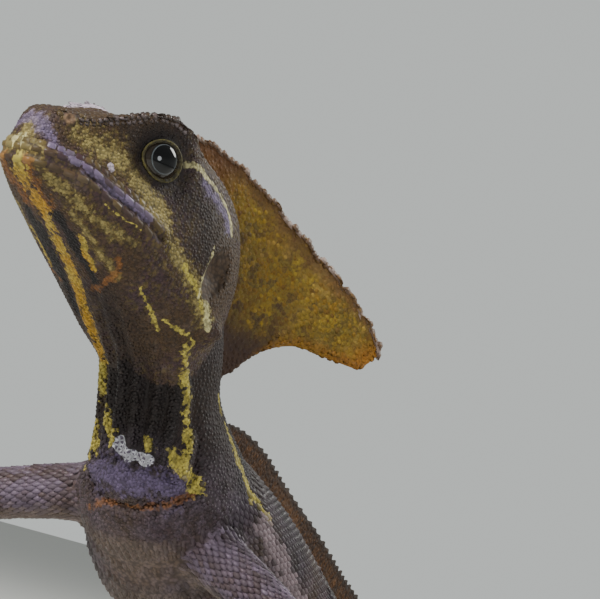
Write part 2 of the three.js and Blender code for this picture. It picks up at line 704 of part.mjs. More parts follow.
const TAIL_CUTS = [0, 0.18, 0.36, 0.52, 0.68, 0.84, 1];
const tailGap = GAP / 2 / TAIL_LENGTH;
TAIL_CUTS.slice(0, -1).forEach((from, i) => {
  const to = TAIL_CUTS[i + 1];
  const domes = [i === 0, i === TAIL_CUTS.length - 2];
  const sides = i < 2 ? 14 : 10;
  const start = from + (domes[0] ? 0 : tailGap);
  const end = to - (domes[1] ? 0 : tailGap);
  place(`tail_${i + 1}`, tailPart(start, end, sides, 7, 0, domes));
});
const finCutter = tailPart(0, 0.5, 14, 20, GAP).add(bodyCutter);
place("tail_fin_1", tailFin(0.012, TAIL_CUTS[1] - tailGap).subtract(finCutter), sailHide);
place("tail_fin_2", tailFin(TAIL_CUTS[1] + tailGap, TAIL_FIN_TO).subtract(finCutter), sailHide);

const limbs = [
  ...foreleg(1, "left", [-2, 0, 0], 9),
  ...foreleg(-1, "right", [0, -2, 0], 0),
  ...hindleg(1, "left", [0, 0, 0]),
  ...hindleg(-1, "right", [-2, -6, 0]),
];
for (const [name, shape] of limbs) place(name, shape);

// The frame's origin is on the floor under the middle of the whole animal
const extent = new THREE.Box3().setFromObject(basilisk);
const middle = extent.getCenter(vec(0, 0, 0));
basilisk.position.set(-middle.x, -middle.y, -extent.min.z);

export default basilisk;
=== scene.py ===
import math

import bmesh
import bpy
import numpy as np
from mathutils import Matrix, Vector
from mathutils.bvhtree import BVHTree


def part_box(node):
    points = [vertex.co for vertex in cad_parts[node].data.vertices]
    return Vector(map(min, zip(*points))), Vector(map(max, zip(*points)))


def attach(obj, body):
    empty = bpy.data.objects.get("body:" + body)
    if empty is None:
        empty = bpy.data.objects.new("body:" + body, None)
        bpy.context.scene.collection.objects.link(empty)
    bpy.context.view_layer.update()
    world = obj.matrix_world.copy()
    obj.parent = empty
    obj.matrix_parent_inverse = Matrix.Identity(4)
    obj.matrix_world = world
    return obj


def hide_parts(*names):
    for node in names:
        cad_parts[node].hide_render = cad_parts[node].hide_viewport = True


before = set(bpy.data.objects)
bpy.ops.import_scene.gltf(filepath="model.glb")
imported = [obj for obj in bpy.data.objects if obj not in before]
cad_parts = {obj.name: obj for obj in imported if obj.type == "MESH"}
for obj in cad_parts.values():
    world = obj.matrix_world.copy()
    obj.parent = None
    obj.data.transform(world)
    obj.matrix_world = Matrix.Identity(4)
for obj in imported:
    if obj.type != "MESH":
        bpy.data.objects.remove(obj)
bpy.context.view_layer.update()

# Skin
# The animal's hide: one sheet of skin over head, trunk, legs and tail, laid from the solids of flesh, drawn
# together without seams, and then creased at the mouth, lids and throat. It lies under the scales.
MM = 0.001
SKIN_GRID = 1.05 * MM
# How far each solid is grown so that it fuses with its neighbours, in millimetres
SWELL = 0.25
EYE_SWELL = 0.45
# How far below the solids' surface the bare skin lies, in millimetres
SKIN_DEPTH = 0.62
TOE_SKIN_DEPTH = 0.4
FLESH = ["head", "neck", "chest", "belly", "hips"]
FLESH += [f"tail_{number}" for number in range(1, 7)]
FLESH += [
    f"{part}_{side}"
    for side in ("left", "right")
    for part in ("upper_arm", "forearm", "hand", "thigh", "shank", "foot")
]
TOED = ["hand_left", "hand_right", "foot_left", "foot_right"]


def unit(vectors):
    """The same directions, each one unit long."""
    return vectors / np.linalg.norm(vectors, axis=-1, keepdims=True)


# The head's own directions, from its two eyes: forward along the snout, to its left, and up
EYE_PLACE = np.array([0.3, 6.1, -0.2])
EYE_AXIS = unit(np.array([0.22, 0.965, 0.08]))
HEAD_PITCH = math.radians(9)
HEAD_PLACE = np.array([-6.3, -23.5, 97.5])
eye_boxes = {side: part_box(f"eye_{side}") for side in ("left", "right")}
eye_middles = {side: np.array((low + high) / 2) * 1000 for side, (low, high) in eye_boxes.items()}
leftward = unit(eye_middles["left"] - eye_middles["right"])
forward = np.array(
    [
        leftward[1] * math.cos(HEAD_PITCH),
        -leftward[0] * math.cos(HEAD_PITCH),
        math.sin(HEAD_PITCH),
    ]
)
upward = np.cross(forward, leftward)
head_frame = np.stack([forward, leftward, upward])
head_middle = (eye_middles["left"] + eye_middles["right"]) / 2
head_middle = head_middle - EYE_PLACE[0] * forward - EYE_PLACE[2] * upward
# Places on the trunk and legs are given from the floor under the shoulders: left, back and up
ground_point = head_middle - HEAD_PLACE


def to_head(points):
    """Millimetre places as forward, left and up from between the eyes."""
    return (points - head_middle) @ head_frame.T


def from_head(points):
    """The other way round: places on the head as millimetres in the room."""
    return np.asarray(points, float) @ head_frame + head_middle


def read(items, name, width=3, kind=np.float32):
    """One row of numbers for each vertex, edge, corner or value."""
    flat = np.empty(len(items) * width, kind)
    items.foreach_get(name, flat)
    return flat.reshape(-1, width)


def coordinates(mesh):
    """Where a mesh's points lie, in millimetres."""
    return read(mesh.vertices, "co").astype(float) * 1000


def set_coordinates(mesh, points):
    mesh.vertices.foreach_set("co", (points * MM).astype(np.float32).ravel())
    mesh.update()


def normals_of(mesh):
    return read(mesh.vertices, "normal").astype(float)


def store(mesh, name, values):
    layer = mesh.attributes.get(name) or mesh.attributes.new(name, "FLOAT", "POINT")
    layer.data.foreach_set("value", np.asarray(values, np.float32))


def store_vectors(mesh, name, vectors):
    layer = mesh.attributes.new(name, "FLOAT_VECTOR", "POINT")
    layer.data.foreach_set("vector", np.asarray(vectors, np.float32).ravel())


def smooth(mesh):
    mesh.polygons.foreach_set("use_smooth", np.ones(len(mesh.polygons), bool))


def added(name, data):
    """An object in the scene, at the origin."""
    made = bpy.data.objects.new(name, data)
    bpy.context.scene.collection.objects.link(made)
    return made


def relaxed(points, pairs, rounds, keep=None):
    """Points eased towards their neighbours, in and out by turns so that nothing shrinks."""
    ease_in, ease_out = 0.55, -0.57
    count = np.bincount(pairs.ravel(), minlength=len(points))[:, None].clip(1)
    hold = 1.0 if keep is None else (1 - keep)[:, None]
    for step in range(2 * rounds):
        total = np.zeros_like(points)
        for axis in range(3):
            total[:, axis] = np.bincount(
                pairs[:, 0], points[pairs[:, 1], axis], len(points)
            ) + np.bincount(pairs[:, 1], points[pairs[:, 0], axis], len(points))
        points = points + (ease_in if step % 2 == 0 else ease_out) * hold * (total / count - points)
    return points


def swollen_node(name, swell):
    """A CAD solid's surface, merged and grown a little."""
    surface = bmesh.new()
    surface.from_mesh(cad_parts[name].data)
    bmesh.ops.remove_doubles(surface, verts=surface.verts, dist=1e-6)
    surface.normal_update()
    for vertex in surface.verts:
        vertex.co += vertex.normal * swell * MM
    return surface


flesh = bmesh.new()
flesh_names = []
for node in FLESH + ["eye_left", "eye_right"]:
    surface = swollen_node(node, EYE_SWELL if node.startswith("eye") else SWELL)
    grown = bpy.data.meshes.new("grown solid")
    surface.to_mesh(grown)
    flesh.from_mesh(grown)
    flesh_names += [node] * len(grown.polygons)
    surface.free()
    bpy.data.meshes.remove(grown)
flesh_tree = BVHTree.FromBMesh(flesh)
flesh_mesh = bpy.data.meshes.new("flesh")
flesh.to_mesh(flesh_mesh)
flesh.free()
flesh_object = added("flesh", flesh_mesh)
remesh = flesh_object.modifiers.new("one sheet", "REMESH")
remesh.mode = "VOXEL"
remesh.voxel_size = SKIN_GRID
dependency = bpy.context.evaluated_depsgraph_get()
sheet = bpy.data.meshes.new_from_object(flesh_object.evaluated_get(dependency))
bpy.data.objects.remove(flesh_object)
pairs = read(sheet.edges, "vertices", 2, np.int32)
set_coordinates(sheet, relaxed(coordinates(sheet), pairs, 5))


def split_faces(mesh, chosen):
    """Each chosen face is split in four."""
    surface = bmesh.new()
    surface.from_mesh(mesh)
    surface.verts.ensure_lookup_table()
    edges = [
        edge for edge in surface.edges if chosen[edge.verts[0].index] and chosen[edge.verts[1].index]
    ]
    bmesh.ops.subdivide_edges(surface, edges=edges, cuts=1, use_grid_fill=True)
    surface.to_mesh(mesh)
    surface.free()


def lengths_along(line):
    """How far along a line each of its points lies."""
    return np.concatenate([[0], np.cumsum(np.linalg.norm(np.diff(line, axis=0), axis=1))])


def at_lengths(line, lengths, ways):
    """The places on a line at some distances along it."""
    return np.stack([np.interp(ways, lengths, line[:, axis]) for axis in range(3)], axis=-1)


def resampled(line, spacing):
    """Evenly spaced places on a line, and the share of its length at each."""
    line = np.asarray(line, float)
    lengths = lengths_along(line)
    steps = np.arange(0, lengths[-1], spacing)
    return at_lengths(line, lengths, steps), steps / lengths[-1]


def line_distance(points, line):
    """Distance from a line through a few places, and how far along it the nearest one lies, from 0 to 1."""
    line = np.asarray(line, float)
    best = np.full(len(points), 1e9)
    along = np.zeros(len(points))
    lengths = lengths_along(line)
    for number in range(len(line) - 1):
        way = line[number + 1] - line[number]
        share = ((points - line[number]) @ way / (way @ way)).clip(0, 1)
        apart = np.linalg.norm(points - line[number] - share[:, None] * way, axis=1)
        nearer = apart < best
        best[nearer] = apart[nearer]
        reached = lengths[number] + share[nearer] * (lengths[number + 1] - lengths[number])
        along[nearer] = reached / lengths[-1]
    return best, along


def eased(low, high, values):
    """0 below low, 1 above high, eased between."""
    share = ((values - low) / (high - low)).clip(0, 1)
    return share * share * (3 - 2 * share)


def bell(values, middle, width):
    """1 at the middle, falling off to both sides over about a width."""
    return np.exp(-(((values - middle) / width) ** 2))


def mirrored(places):
    """Head places folded onto the left side, so that one set of marks serves both."""
    return places * [1, 0, 1] + np.abs(places) * [0, 1, 0]


# The line of the mouth from snout to corner, the nostril and the ear, as forward, left and up
MOUTH = [
    (22.5, 0, -8.7),
    (21.4, 3.6, -8.5),
    (18.4, 5.8, -8.2),
    (12.5, 8.6, -7.8),
    (8.4, 9.9, -8.8),
    (5.2, 10.7, -9.4),
    (0.8, 11.4, -10.2),
    (-2.6, 11.9, -11.4),
]
NOSTRIL = np.array([17.5, 4.7, -1.0])
EAR = np.array([-16.2, 11.3, -11.8])
EAR_HALF_WIDTH = 2.6
EAR_HALF_HEIGHT = 4.7
EAR_SLANT = 0.22

# Each leg's places on the left side from the floor under the shoulders, and its toes' turn and length
LEGS = {
    "fore": {"joints": [(7.5, 6, 47), (42, 1, 35.5), (45, -15, 6.6), (46.5, -20.5, 2.8)], "heading": 14,
             "toes": [(-52, 8), (-24, 12.5), (2, 15), (28, 14), (66, 9.5)], "radius": 1.15, "spread": 2.4},
    "hind": {"joints": [(5, 106, 15), (43, 84, 21), (39, 123, 6.2), (47, 107, 3.2)], "heading": 26,
             "toes": [(-34, 11), (-17, 18), (-2, 25), (12, 31), (52, 17)], "radius": 1.3, "spread": 3.6},
}
# How far each leg is set out, back and down from that
STANCE = {
    ("fore", 1): (-2, 0, 9), ("fore", -1): (0, -2, 0),
    ("hind", 1): (0, 0, 0), ("hind", -1): (-2, -6, 0),
}


def leg_joints(kind, sign):
    """Shoulder or hip, elbow or knee, wrist or ankle, and palm or sole, of the leg on one side."""
    out, along, droop = STANCE[kind, sign]
    places = np.array(LEGS[kind]["joints"], float)
    places[1:, 0] += out
    places[1:, 1] += along
    places[0, 2] -= droop / 2
    places[1, 2] -= droop
    places[:, 0] *= sign
    return places


def toe_aims(kind, sign):
    """For each toe, its direction over the floor and the place of its tip."""
    leg = LEGS[kind]
    sole = leg_joints(kind, sign)[3]
    for turn, length in leg["toes"]:
        heading = sign * math.radians(leg["heading"] + turn)
        aim = np.array([math.sin(heading), -math.cos(heading), 0])
        yield aim, sole + aim * (leg["spread"] + length)


def nearest_names(points):
    """The solid that each point lies nearest to, and the nearest place on it."""
    hits = [flesh_tree.find_nearest(Vector(point)) for point in points * MM]
    return np.array([flesh_names[hit[2]] for hit in hits]), np.array([hit[0] for hit in hits]) * 1000


toed_boxes = [np.array(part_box(name)) * 1000 for name in TOED]


def in_toes(points):
    """Which points are in reach of a hand or foot."""
    margin = 0.8
    inside = np.zeros(len(points), bool)
    for low, high in toed_boxes:
        inside |= ((points > low - margin) & (points < high + margin)).all(axis=1)
    return inside


# The sheet is finer on the toes and head, and finest at the eyes, mouth and nostrils
split_faces(sheet, in_toes(coordinates(sheet)))
places = to_head(coordinates(sheet))
on_head = (places[:, 0] > -32) & (places[:, 2] > -46) & (np.abs(places[:, 1]) < 22)
split_faces(sheet, on_head)
places = mirrored(to_head(coordinates(sheet)))
fine = np.linalg.norm(places - EYE_PLACE, axis=1) < 7.4
fine |= line_distance(places, MOUTH)[0] < 1.6
fine |= np.linalg.norm(places - NOSTRIL, axis=1) < 2.2
split_faces(sheet, fine)

pairs = read(sheet.edges, "vertices", 2, np.int32)
points = relaxed(coordinates(sheet), pairs, 3)
# Toes are thinner than the grid, so their skin is laid back on the solids
toes = np.flatnonzero(in_toes(points))
points[toes] = nearest_names(points[toes])[1]
# Where the claws will be, the skin ends in a small dome instead
for kind, sign in STANCE:
    toe_radius = LEGS[kind]["radius"]
    for aim, tip in toe_aims(kind, sign):
        tip = tip + ground_point
        tip[2] = toe_radius * 0.85
        from_tip = points - tip
        reach = from_tip @ aim
        beside = np.linalg.norm(from_tip - reach[:, None] * aim, axis=1)
        beyond = (reach > 0.2) & (reach < 6) & (beside < 2.6)
        points[beyond] = tip + unit(from_tip[beyond]) * toe_radius * 0.75
keep = np.ones(len(points))
keep[toes] = 0
points = relaxed(points, pairs, 1, keep)
set_coordinates(sheet, points)
normals = normals_of(sheet)
places = to_head(points)
folded = mirrored(places)
side = np.sign(places[:, 1])
side[side == 0] = 1
nearest_node = nearest_names(points)[0]
stance = points - ground_point

# How far each point is moved out along its normal, in millimetres
LIP_SWELL, MOUTH_DEPTH = 0.30, 0.6
NOSTRIL_RIM, NOSTRIL_DEPTH = 0.3, 1.3
EAR_RIM, EAR_DEPTH = 0.14, 0.7
lift = np.where(np.isin(nearest_node, TOED), -TOE_SKIN_DEPTH, -SKIN_DEPTH)
mouth_gap = line_distance(folded, MOUTH)[0]
lift += LIP_SWELL * bell(mouth_gap, 1.3, 0.8) * (folded[:, 0] > -4)
closed = 1 - 0.8 * eased(16.5, 19.5, folded[:, 0])
lift -= MOUTH_DEPTH * closed * bell(mouth_gap, 0, 0.34)
nostril_gap = np.linalg.norm(folded - NOSTRIL, axis=1)
lift += NOSTRIL_RIM * bell(nostril_gap, 0.9, 0.32)
lift -= NOSTRIL_DEPTH * bell(nostril_gap, 0, 0.5)
from_ear = folded - EAR
ear_gap = np.hypot(
    (from_ear[:, 0] + EAR_SLANT * from_ear[:, 2]) / EAR_HALF_WIDTH, from_ear[:, 2] / EAR_HALF_HEIGHT
)
ear_gap = np.where(np.abs(from_ear[:, 1]) < 5, ear_gap, 9)
lift += EAR_RIM * bell(ear_gap, 1.25, 0.2)
lift -= EAR_DEPTH * (1 - eased(0.6, 1.15, ear_gap))
# Creases of loose skin: down the throat, across the root of the neck, and behind the jaw
THROAT_FOLD = 0.65
ROLL_SWELL, COLLAR_DEPTH, UNDER_ROLL_DEPTH = 0.5, 0.8, 1.1
SIDE_FOLD_SWELL, BEHIND_FOLD_DEPTH, BEFORE_FOLD_DEPTH = 0.55, 0.9, 0.6
SIDE_FOLD = np.array(
    [(7.7, -14.5, 70.7), (7.2, -8.8, 64.3), (8.4, -6.4, 57.6), (8.8, -6.2, 52.2), (7, -7, 47)]
)
throat = (nearest_node == "neck") | ((nearest_node == "head") & (folded[:, 2] < -20))
front = eased(0.2, 0.9, -normals[:, 1])
down_throat = np.sin(stance[:, 0] * 2.1 + 0.9 * np.sin(stance[:, 2] * 0.16) + 0.7)
throat_ends = eased(48, 54, stance[:, 2]) * (1 - eased(66, 80, stance[:, 2]))
lift += THROAT_FOLD * down_throat * throat * front * throat_ends
loose = front * np.isin(nearest_node, ["neck", "chest"])
collar = bell(stance[:, 2] + 0.10 * np.abs(stance[:, 0]), 51.6, 0.8)
roll = bell(stance[:, 2] - 0.02 * stance[:, 0] ** 2, 48.2, 2.0)
under_roll = bell(stance[:, 2] - 0.042 * stance[:, 0] ** 2, 44.6, 0.8)
lift += (ROLL_SWELL * roll - COLLAR_DEPTH * collar - UNDER_ROLL_DEPTH * under_roll) * loose
loose = np.isin(nearest_node, ["neck", "chest", "head"])
fold_gap = line_distance(stance, SIDE_FOLD)[0]
behind_fold = line_distance(stance, SIDE_FOLD + [1.7, 1.6, -0.2])[0]
before_fold = line_distance(stance, SIDE_FOLD + [-2.4, -0.9, 0])[0]
lift += loose * (SIDE_FOLD_SWELL * bell(fold_gap, 0, 1.0) - BEHIND_FOLD_DEPTH * bell(behind_fold, 0, 0.6))
lift -= loose * BEFORE_FOLD_DEPTH * bell(before_fold, 0, 0.7)
points = points + normals * lift[:, None]

# Lids: the skin follows the ball of the eye to the rim of an oval opening, with three creases round it
LID_OPENING = (3.8, 2.95)
EYE_BALL = 4.3
LID_CREASES = ((1.30, 0.30), (1.50, 0.30), (1.72, 0.26))
folded = mirrored(to_head(points))
from_eye = folded - EYE_PLACE
over = unit(np.array([0, 0, 1]) - EYE_AXIS[2] * EYE_AXIS)
ahead = -np.cross(EYE_AXIS, over)
opening = np.hypot(from_eye @ ahead / LID_OPENING[0], (from_eye @ over + 0.1) / LID_OPENING[1])
reach = np.linalg.norm(from_eye, axis=1)
near_eye = (from_eye @ EYE_AXIS > 0.5) & (reach < 7.2)
lid_height = EYE_BALL + 0.3 + 0.22 * bell(opening, 1.1, 0.08) + 0.45 * eased(1.3, 1.6, opening)
for crease_at, crease_depth in LID_CREASES:
    lid_height -= crease_depth * bell(opening, crease_at, 0.06)
lid_height = np.where(opening < 1.0, EYE_BALL - 1.1, lid_height)
blend = np.where(near_eye, 1 - eased(1.5, 1.95, opening), 0)
new_reach = reach * (1 - blend) + lid_height * blend
folded = EYE_PLACE + from_eye * (new_reach / reach.clip(0.01))[:, None]
points = from_head(folded * np.stack([np.ones_like(side), side, np.ones_like(side)], axis=1))
points[:, 2] = points[:, 2].clip(0.15, None)
set_coordinates(sheet, points)
normals = normals_of(sheet)
smooth(sheet)

# Marks, each a line and its half width. Head marks are given as forward, left and up, and serve both sides.
# Those of the chin, crown, throat and net are given for one side only. Trunk marks are left, back and up.
GOLD_HEAD = [
    ([(7.6, 5.9, -16.7), (5.2, 5.4, -18), (2.1, 5.5, -20.0)], 0.55),
    ([(-10.6, 10.7, -22.2), (-15, 11.3, -22.5), (-19.1, 10.8, -23.2)], 0.36),
    ([(-3.7, 10.3, -19.7), (-7.2, 10.2, -21.6), (-11.6, 9.6, -24.1)], 0.30),
    ([(8.9, 9.8, -10.9), (4.8, 10.8, -11.8), (1.5, 11.5, -11.7)], 0.17),
    ([(-8.7, 12.7, -13.6), (-12.7, 12.9, -15.9), (-16.6, 12.7, -18.8)], 0.5),
]
GOLD_CHIN = [
    ([(21.2, 0.8, -9.9), (17.6, 1.1, -12.5), (13.8, 0.9, -14.2)], 1.7),
    (
        [(12, 0.7, -15.1), (6.7, 0.2, -18), (1.4, -0.3, -20.9), (-2.9, -1.1, -23.5), (-7.2, -1.7, -26),
         (-12.2, -3, -28.5)],
        1.25,
    ),
]
GOLD_THROAT = [
    ([(-7.6, -15.2, 67.4), (-7.4, -9.6, 61.2), (-5.4, -10.2, 57.5), (-2.6, -10.8, 54.6)], 1.2),
    ([(3, -9.6, 55.4), (3.4, -9.3, 54.4)], 0.8),
]
GOLD_TRUNK = [
    ([(7.7, -14.5, 70.7), (7.2, -8.8, 64.3), (8.4, -6.4, 57.6), (8.6, -6.2, 52.7)], 0.8),
    ([(6.5, -7.1, 54.1), (8.2, -5.2, 52.5), (9.7, -2.8, 50.5)], 1.3),
    ([(8.4, 0.5, 65), (10.2, 3.9, 59.5), (12.9, 6.3, 54.7), (14.8, 9.3, 51.4), (16, 14, 48.3)], 0.75),
]
OLIVE_HEAD = [
    ([(22.4, 0, -3.8), (22.2, 0.6, -6.6), (21.6, 2.4, -8.6)], 2.0),
    ([(14.8, 6.4, -2.7), (10.4, 7.7, -2.6), (5.4, 9.3, -4.2), (0.2, 10.6, -7), (-0.9, 11, -7.6)], 2.1),
    (
        [(-0.9, 11, -7.6), (-4.5, 12, -10.7), (-8.7, 12.7, -13.6), (-12.7, 12.9, -15.9),
         (-16.6, 12.7, -18.8)],
        1.5,
    ),
    ([(19.8, 5, -11.2), (15.5, 7.1, -12.2), (11.1, 8.8, -13.2), (6.8, 9.9, -14.3), (1.5, 11.2, -14)], 0.95),
    ([(12, 6.5, -14.5), (6, 8, -17), (0, 8.6, -20)], 0.7),
]
PALE_HEAD = [
    (
        [(-3.8, 9.8, 1.3), (-5.6, 9.9, 2.3), (-9.2, 9.6, 1.6), (-13.6, 8.8, 0.6), (-17.3, 8.7, -1.4),
         (-18.1, 9.9, -4.3)],
        0.55,
    ),
    ([(-13.4, 12.1, -7.8), (-13.3, 12.8, -12.8), (-13.3, 13, -17)], 0.20),
    ([(-15.7, 12.9, -16.9), (-18.1, 12.9, -20.2)], 0.75),
    ([(22.5, 0.6, -5.6), (22.2, 1.2, -7.6)], 0.6),
]
PALE_TRUNK = [
    (
        [(16.0, 11.0, 47.4), (16.7, 15.5, 45.1), (16.9, 21.1, 41.7), (17.3, 32, 35), (17.4, 50, 28),
         (17, 70, 22), (14, 95, 16.5)],
        2.2,
    ),
]
LILAC_HEAD = [([(9.7, 8.4, -4.7), (9.2, 8.6, -5.1)], 0.6)]
LILAC_CROWN = [([(10.5, -7.2, 4.2), (6.3, -7.6, 5.7), (3.4, -8, 6.7), (0, -7.6, 7)], 1.7)]
NET_TRUNK = [([(-1.6, -10.4, 54.2), (-0.9, -10.6, 52.4), (3.4, -9.2, 52.2)], 1.05)]
BLACK_HEAD = [([(12, 3.3, -14.9), (8.9, 4, -16.5), (4, 4.4, -19.1), (0.6, 4.3, -21)], 1.0)]
BLACK_CHIN = [([(9.5, -2, -16.4), (4.7, -2.5, -18.9), (-0.3, -3.2, -21.5), (-6.2, -4, -25)], 0.8)]
ORANGE_HEAD = [
    ([(-0.7, 2.9, -22), (-0.5, 5.1, -21.5), (0.6, 8.5, -19.2), (1.8, 9.8, -17.4)], 0.7),
    ([(21.2, 2.5, -10.2), (17.6, 2.6, -12.4), (13.5, 2.2, -14.4)], 1.7),
]
ORANGE_TRUNK = [([(-5.5, -4.6, 44), (1, -6.2, 44.2), (6.4, -5.2, 46.2), (9.8, -2.6, 49)], 0.75)]
VIOLET_HEAD = [
    (
        [(20.5, 3.8, -4.2), (17.7, 5.9, -6.1), (13.7, 7.8, -7.0), (9.3, 9.8, -8.2), (5, 10.6, -9),
         (0.7, 11.3, -9.8)],
        0.8,
    ),
    ([(20.9, 1.0, -2.5), (20.6, 3.4, -3.9)], 1.1),
    ([(-9, 10.4, 0), (-14, 9.6, -1.2), (-17, 10, -4)], 1.2),
]
VIOLET_TRUNK = [([(-6, -8, 49), (1, -10, 48.5), (8, -6, 50)], 3.0)]
# Painted shade, laid near black: behind each eye, under the throat behind the jaw, and in the folds of the
# upper lid
SHADE_HEAD = [
    ([(-6, 10.8, -3), (-11, 11.2, -4), (-12, 12, -9)], 3.6),
    ([(-2.5, 4.6, -22.7), (-9.3, 3.4, -27.1), (-16, 2, -30)], 3.0),
    ([(6.4, 8.7, 1), (3, 9.2, 4), (-2.1, 9.5, 4.4)], 1.6),
]
# Lines are laid down on the skin at steps of this many millimetres
LAID_STEP = 1.1


def nearness(lines, places):
    """How near each place on the skin is to lines laid down on it: 1 on a line, 0 two half widths off."""
    value = np.full(len(places), -1.0)
    for line, half_width in lines:
        steps = np.concatenate([resampled(line, LAID_STEP)[0], [line[-1]]])
        laid = np.array([places[((places - step) ** 2).sum(axis=1).argmin()] for step in steps])
        laid[1:-1] = (laid[:-2] + 2 * laid[1:-1] + laid[2:]) / 4
        value = np.maximum(value, 1 - line_distance(places, laid)[0] / half_width / 2)
    return value


own_head = to_head(points)
folded = mirrored(own_head)
stance = points - ground_point
folded_stance = stance * [0, 1, 1] + np.abs(stance) * [1, 0, 0]
is_head = np.isin(nearest_node, ["head", "eye_left", "eye_right"])
arms = [f"{part}_{side_name}" for part in ("upper_arm", "forearm", "hand") for side_name in ("left", "right")]
fore_part = np.isin(nearest_node, ["neck", "chest", "belly"]).astype(float)
fore_part *= (1 - eased(8, 62, stance[:, 1])) * (1 - eased(48, 60, stance[:, 2]))
# Painted shade on the neck and upper chest, stronger towards the head above them
shaded = np.isin(nearest_node, ["neck", "chest"]) * eased(34, 54, stance[:, 2])
gold = [nearness(GOLD_HEAD, folded), nearness(GOLD_TRUNK, folded_stance)]
gold += [nearness(GOLD_CHIN, own_head), nearness(GOLD_THROAT, stance)]
marks = {
    "gold": np.max(gold, axis=0),
    "warm": is_head * (1 - eased(4.5, 7, folded[:, 1])) * (1 - eased(-13, -9, folded[:, 2])),
    "olive": nearness(OLIVE_HEAD, folded),
    "pale": np.maximum(nearness(PALE_HEAD, folded), nearness(PALE_TRUNK, folded_stance)),
    "lilac": np.maximum(nearness(LILAC_HEAD, folded), nearness(LILAC_CROWN, own_head)),
    "net": nearness(NET_TRUNK, stance),
    "black": np.maximum(nearness(BLACK_HEAD, folded), nearness(BLACK_CHIN, own_head)),
    "orange": np.maximum(nearness(ORANGE_HEAD, folded), nearness(ORANGE_TRUNK, stance)),
    "violet": np.maximum(nearness(VIOLET_HEAD, folded), nearness(VIOLET_TRUNK, stance)),
    # Painted shade: the lines above, and the neck under the head
    "painted_shade": np.maximum(nearness(SHADE_HEAD, folded), shaded).clip(0, 1),
    "mauve": np.where(np.isin(nearest_node, arms), 1.0, 0.4 * fore_part),
    "headness": is_head.astype(float),
    "nostril": 1 - eased(0.85, 1.35, nostril_gap),
    "ear": 1 - eased(0.85, 1.1, ear_gap),
    # Painted shade: near black along the slit of the mouth and inside the nostrils
    "crease": closed * bell(mouth_gap, 0, 0.40) + bell(nostril_gap, 0, 0.42),
    "lid": np.where(near_eye, 1 - eased(1.3, 2.1, opening), 0),
    "lid_rim": np.where(near_eye, bell(opening, 1.12, 0.08), 0),
    "belly": eased(0.5, 0.95, -normals[:, 2]) * ~is_head,
}
for name, values in marks.items():
    store(sheet, name, values)


class Socket:
    """A shader value that can be written in sums, such as 1 - mask."""

    def __init__(self, tree, socket):
        self.tree, self.socket = tree, socket

    def node(self, kind, inputs=(), output=0, **settings):
        """Any node by type: its settings first, then values or links for its sockets."""
        made = self.tree.nodes.new(kind)
        for name, value in settings.items():
            setattr(made, name, value)
        for name, value in dict(inputs).items():
            target = made.inputs[name]
            if isinstance(value, Socket):
                self.tree.links.new(value.socket, target)
            else:
                target.default_value = value
        return Socket(self.tree, made.outputs[output])

    def maths(self, operation, *values):
        return self.node("ShaderNodeMath", dict(enumerate(values)), operation=operation)

    def __add__(self, other):
        return self.maths("ADD", self, other)

    def __radd__(self, other):
        return self.maths("ADD", other, self)

    def __sub__(self, other):
        return self.maths("SUBTRACT", self, other)

    def __rsub__(self, other):
        return self.maths("SUBTRACT", other, self)

    def __mul__(self, other):
        return self.maths("MULTIPLY", self, other)

    def __rmul__(self, other):
        return self.maths("MULTIPLY", other, self)

    def step(self, low, high):
        """0 below low, 1 above high, eased between."""
        return self.node(
            "ShaderNodeMapRange",
            {0: self, 1: low, 2: high, 3: 0.0, 4: 1.0},
            interpolation_type="SMOOTHSTEP",
        )

    def colors(self, first, second):
        """A colour between two, by this value."""
        linked = {0: self}
        for slot_number, color in ((6, first), (7, second)):
            linked[slot_number] = color if isinstance(color, Socket) else (*color, 1)
        return self.node("ShaderNodeMix", linked, output=2, data_type="RGBA")


def start(tree):
    return Socket(tree, None)


def attribute(tree, name):
    return start(tree).node("ShaderNodeAttribute", output=2, attribute_name=name)


def pattern_place(tree, root=None):
    """Where a pattern is read: at this place of the surface, or at the root of the scale."""
    if root:
        return start(tree).node("ShaderNodeAttribute", output=1, attribute_name=root)
    return start(tree).node("ShaderNodeTexCoord", output=3)


def grain(tree, place, scale, detail=3.0, roughness=0.55):
    return start(tree).node("ShaderNodeTexNoise", {0: place, 2: scale, 3: detail, 4: roughness})


# Hide colours, as the photograph shows them, and the near blacks of painted shade
UMBER = (0.054, 0.031, 0.014)
PLUM = (0.045, 0.024, 0.029)
# Near black of the painted shade behind the eyes, under the throat, above the eyes and on the neck
SHADE_DARK = (0.017, 0.011, 0.010)
DUST = (0.115, 0.085, 0.075)
GOLD = (0.40, 0.225, 0.016)
LEMON = (0.40, 0.33, 0.062)
OLIVE = (0.095, 0.066, 0.018)
TAN = (0.27, 0.215, 0.075)
CREAM = (0.50, 0.45, 0.22)
FLANK = (0.21, 0.155, 0.17)
LILAC = (0.52, 0.44, 0.52)
INK = (0.009, 0.007, 0.007)
RUST = (0.19, 0.075, 0.018)
VIOLET = (0.150, 0.115, 0.205)
THROAT_VIOLET = (0.098, 0.072, 0.140)
MAUVE = (0.135, 0.102, 0.142)
BELLY = (0.16, 0.12, 0.09)
NET_THREAD = (0.52, 0.52, 0.57)
NET_HOLE = (0.085, 0.07, 0.10)
NOSTRIL_SKIN = (0.25, 0.15, 0.085)
EAR_SKIN = (0.060, 0.038, 0.024)
LID_SKIN = (0.010, 0.007, 0.008)
LID_EDGE = (0.15, 0.13, 0.035)
# Near black of the painted shade in the mouth slit and nostrils
CREASE_SHADE = (0.008, 0.006, 0.006)


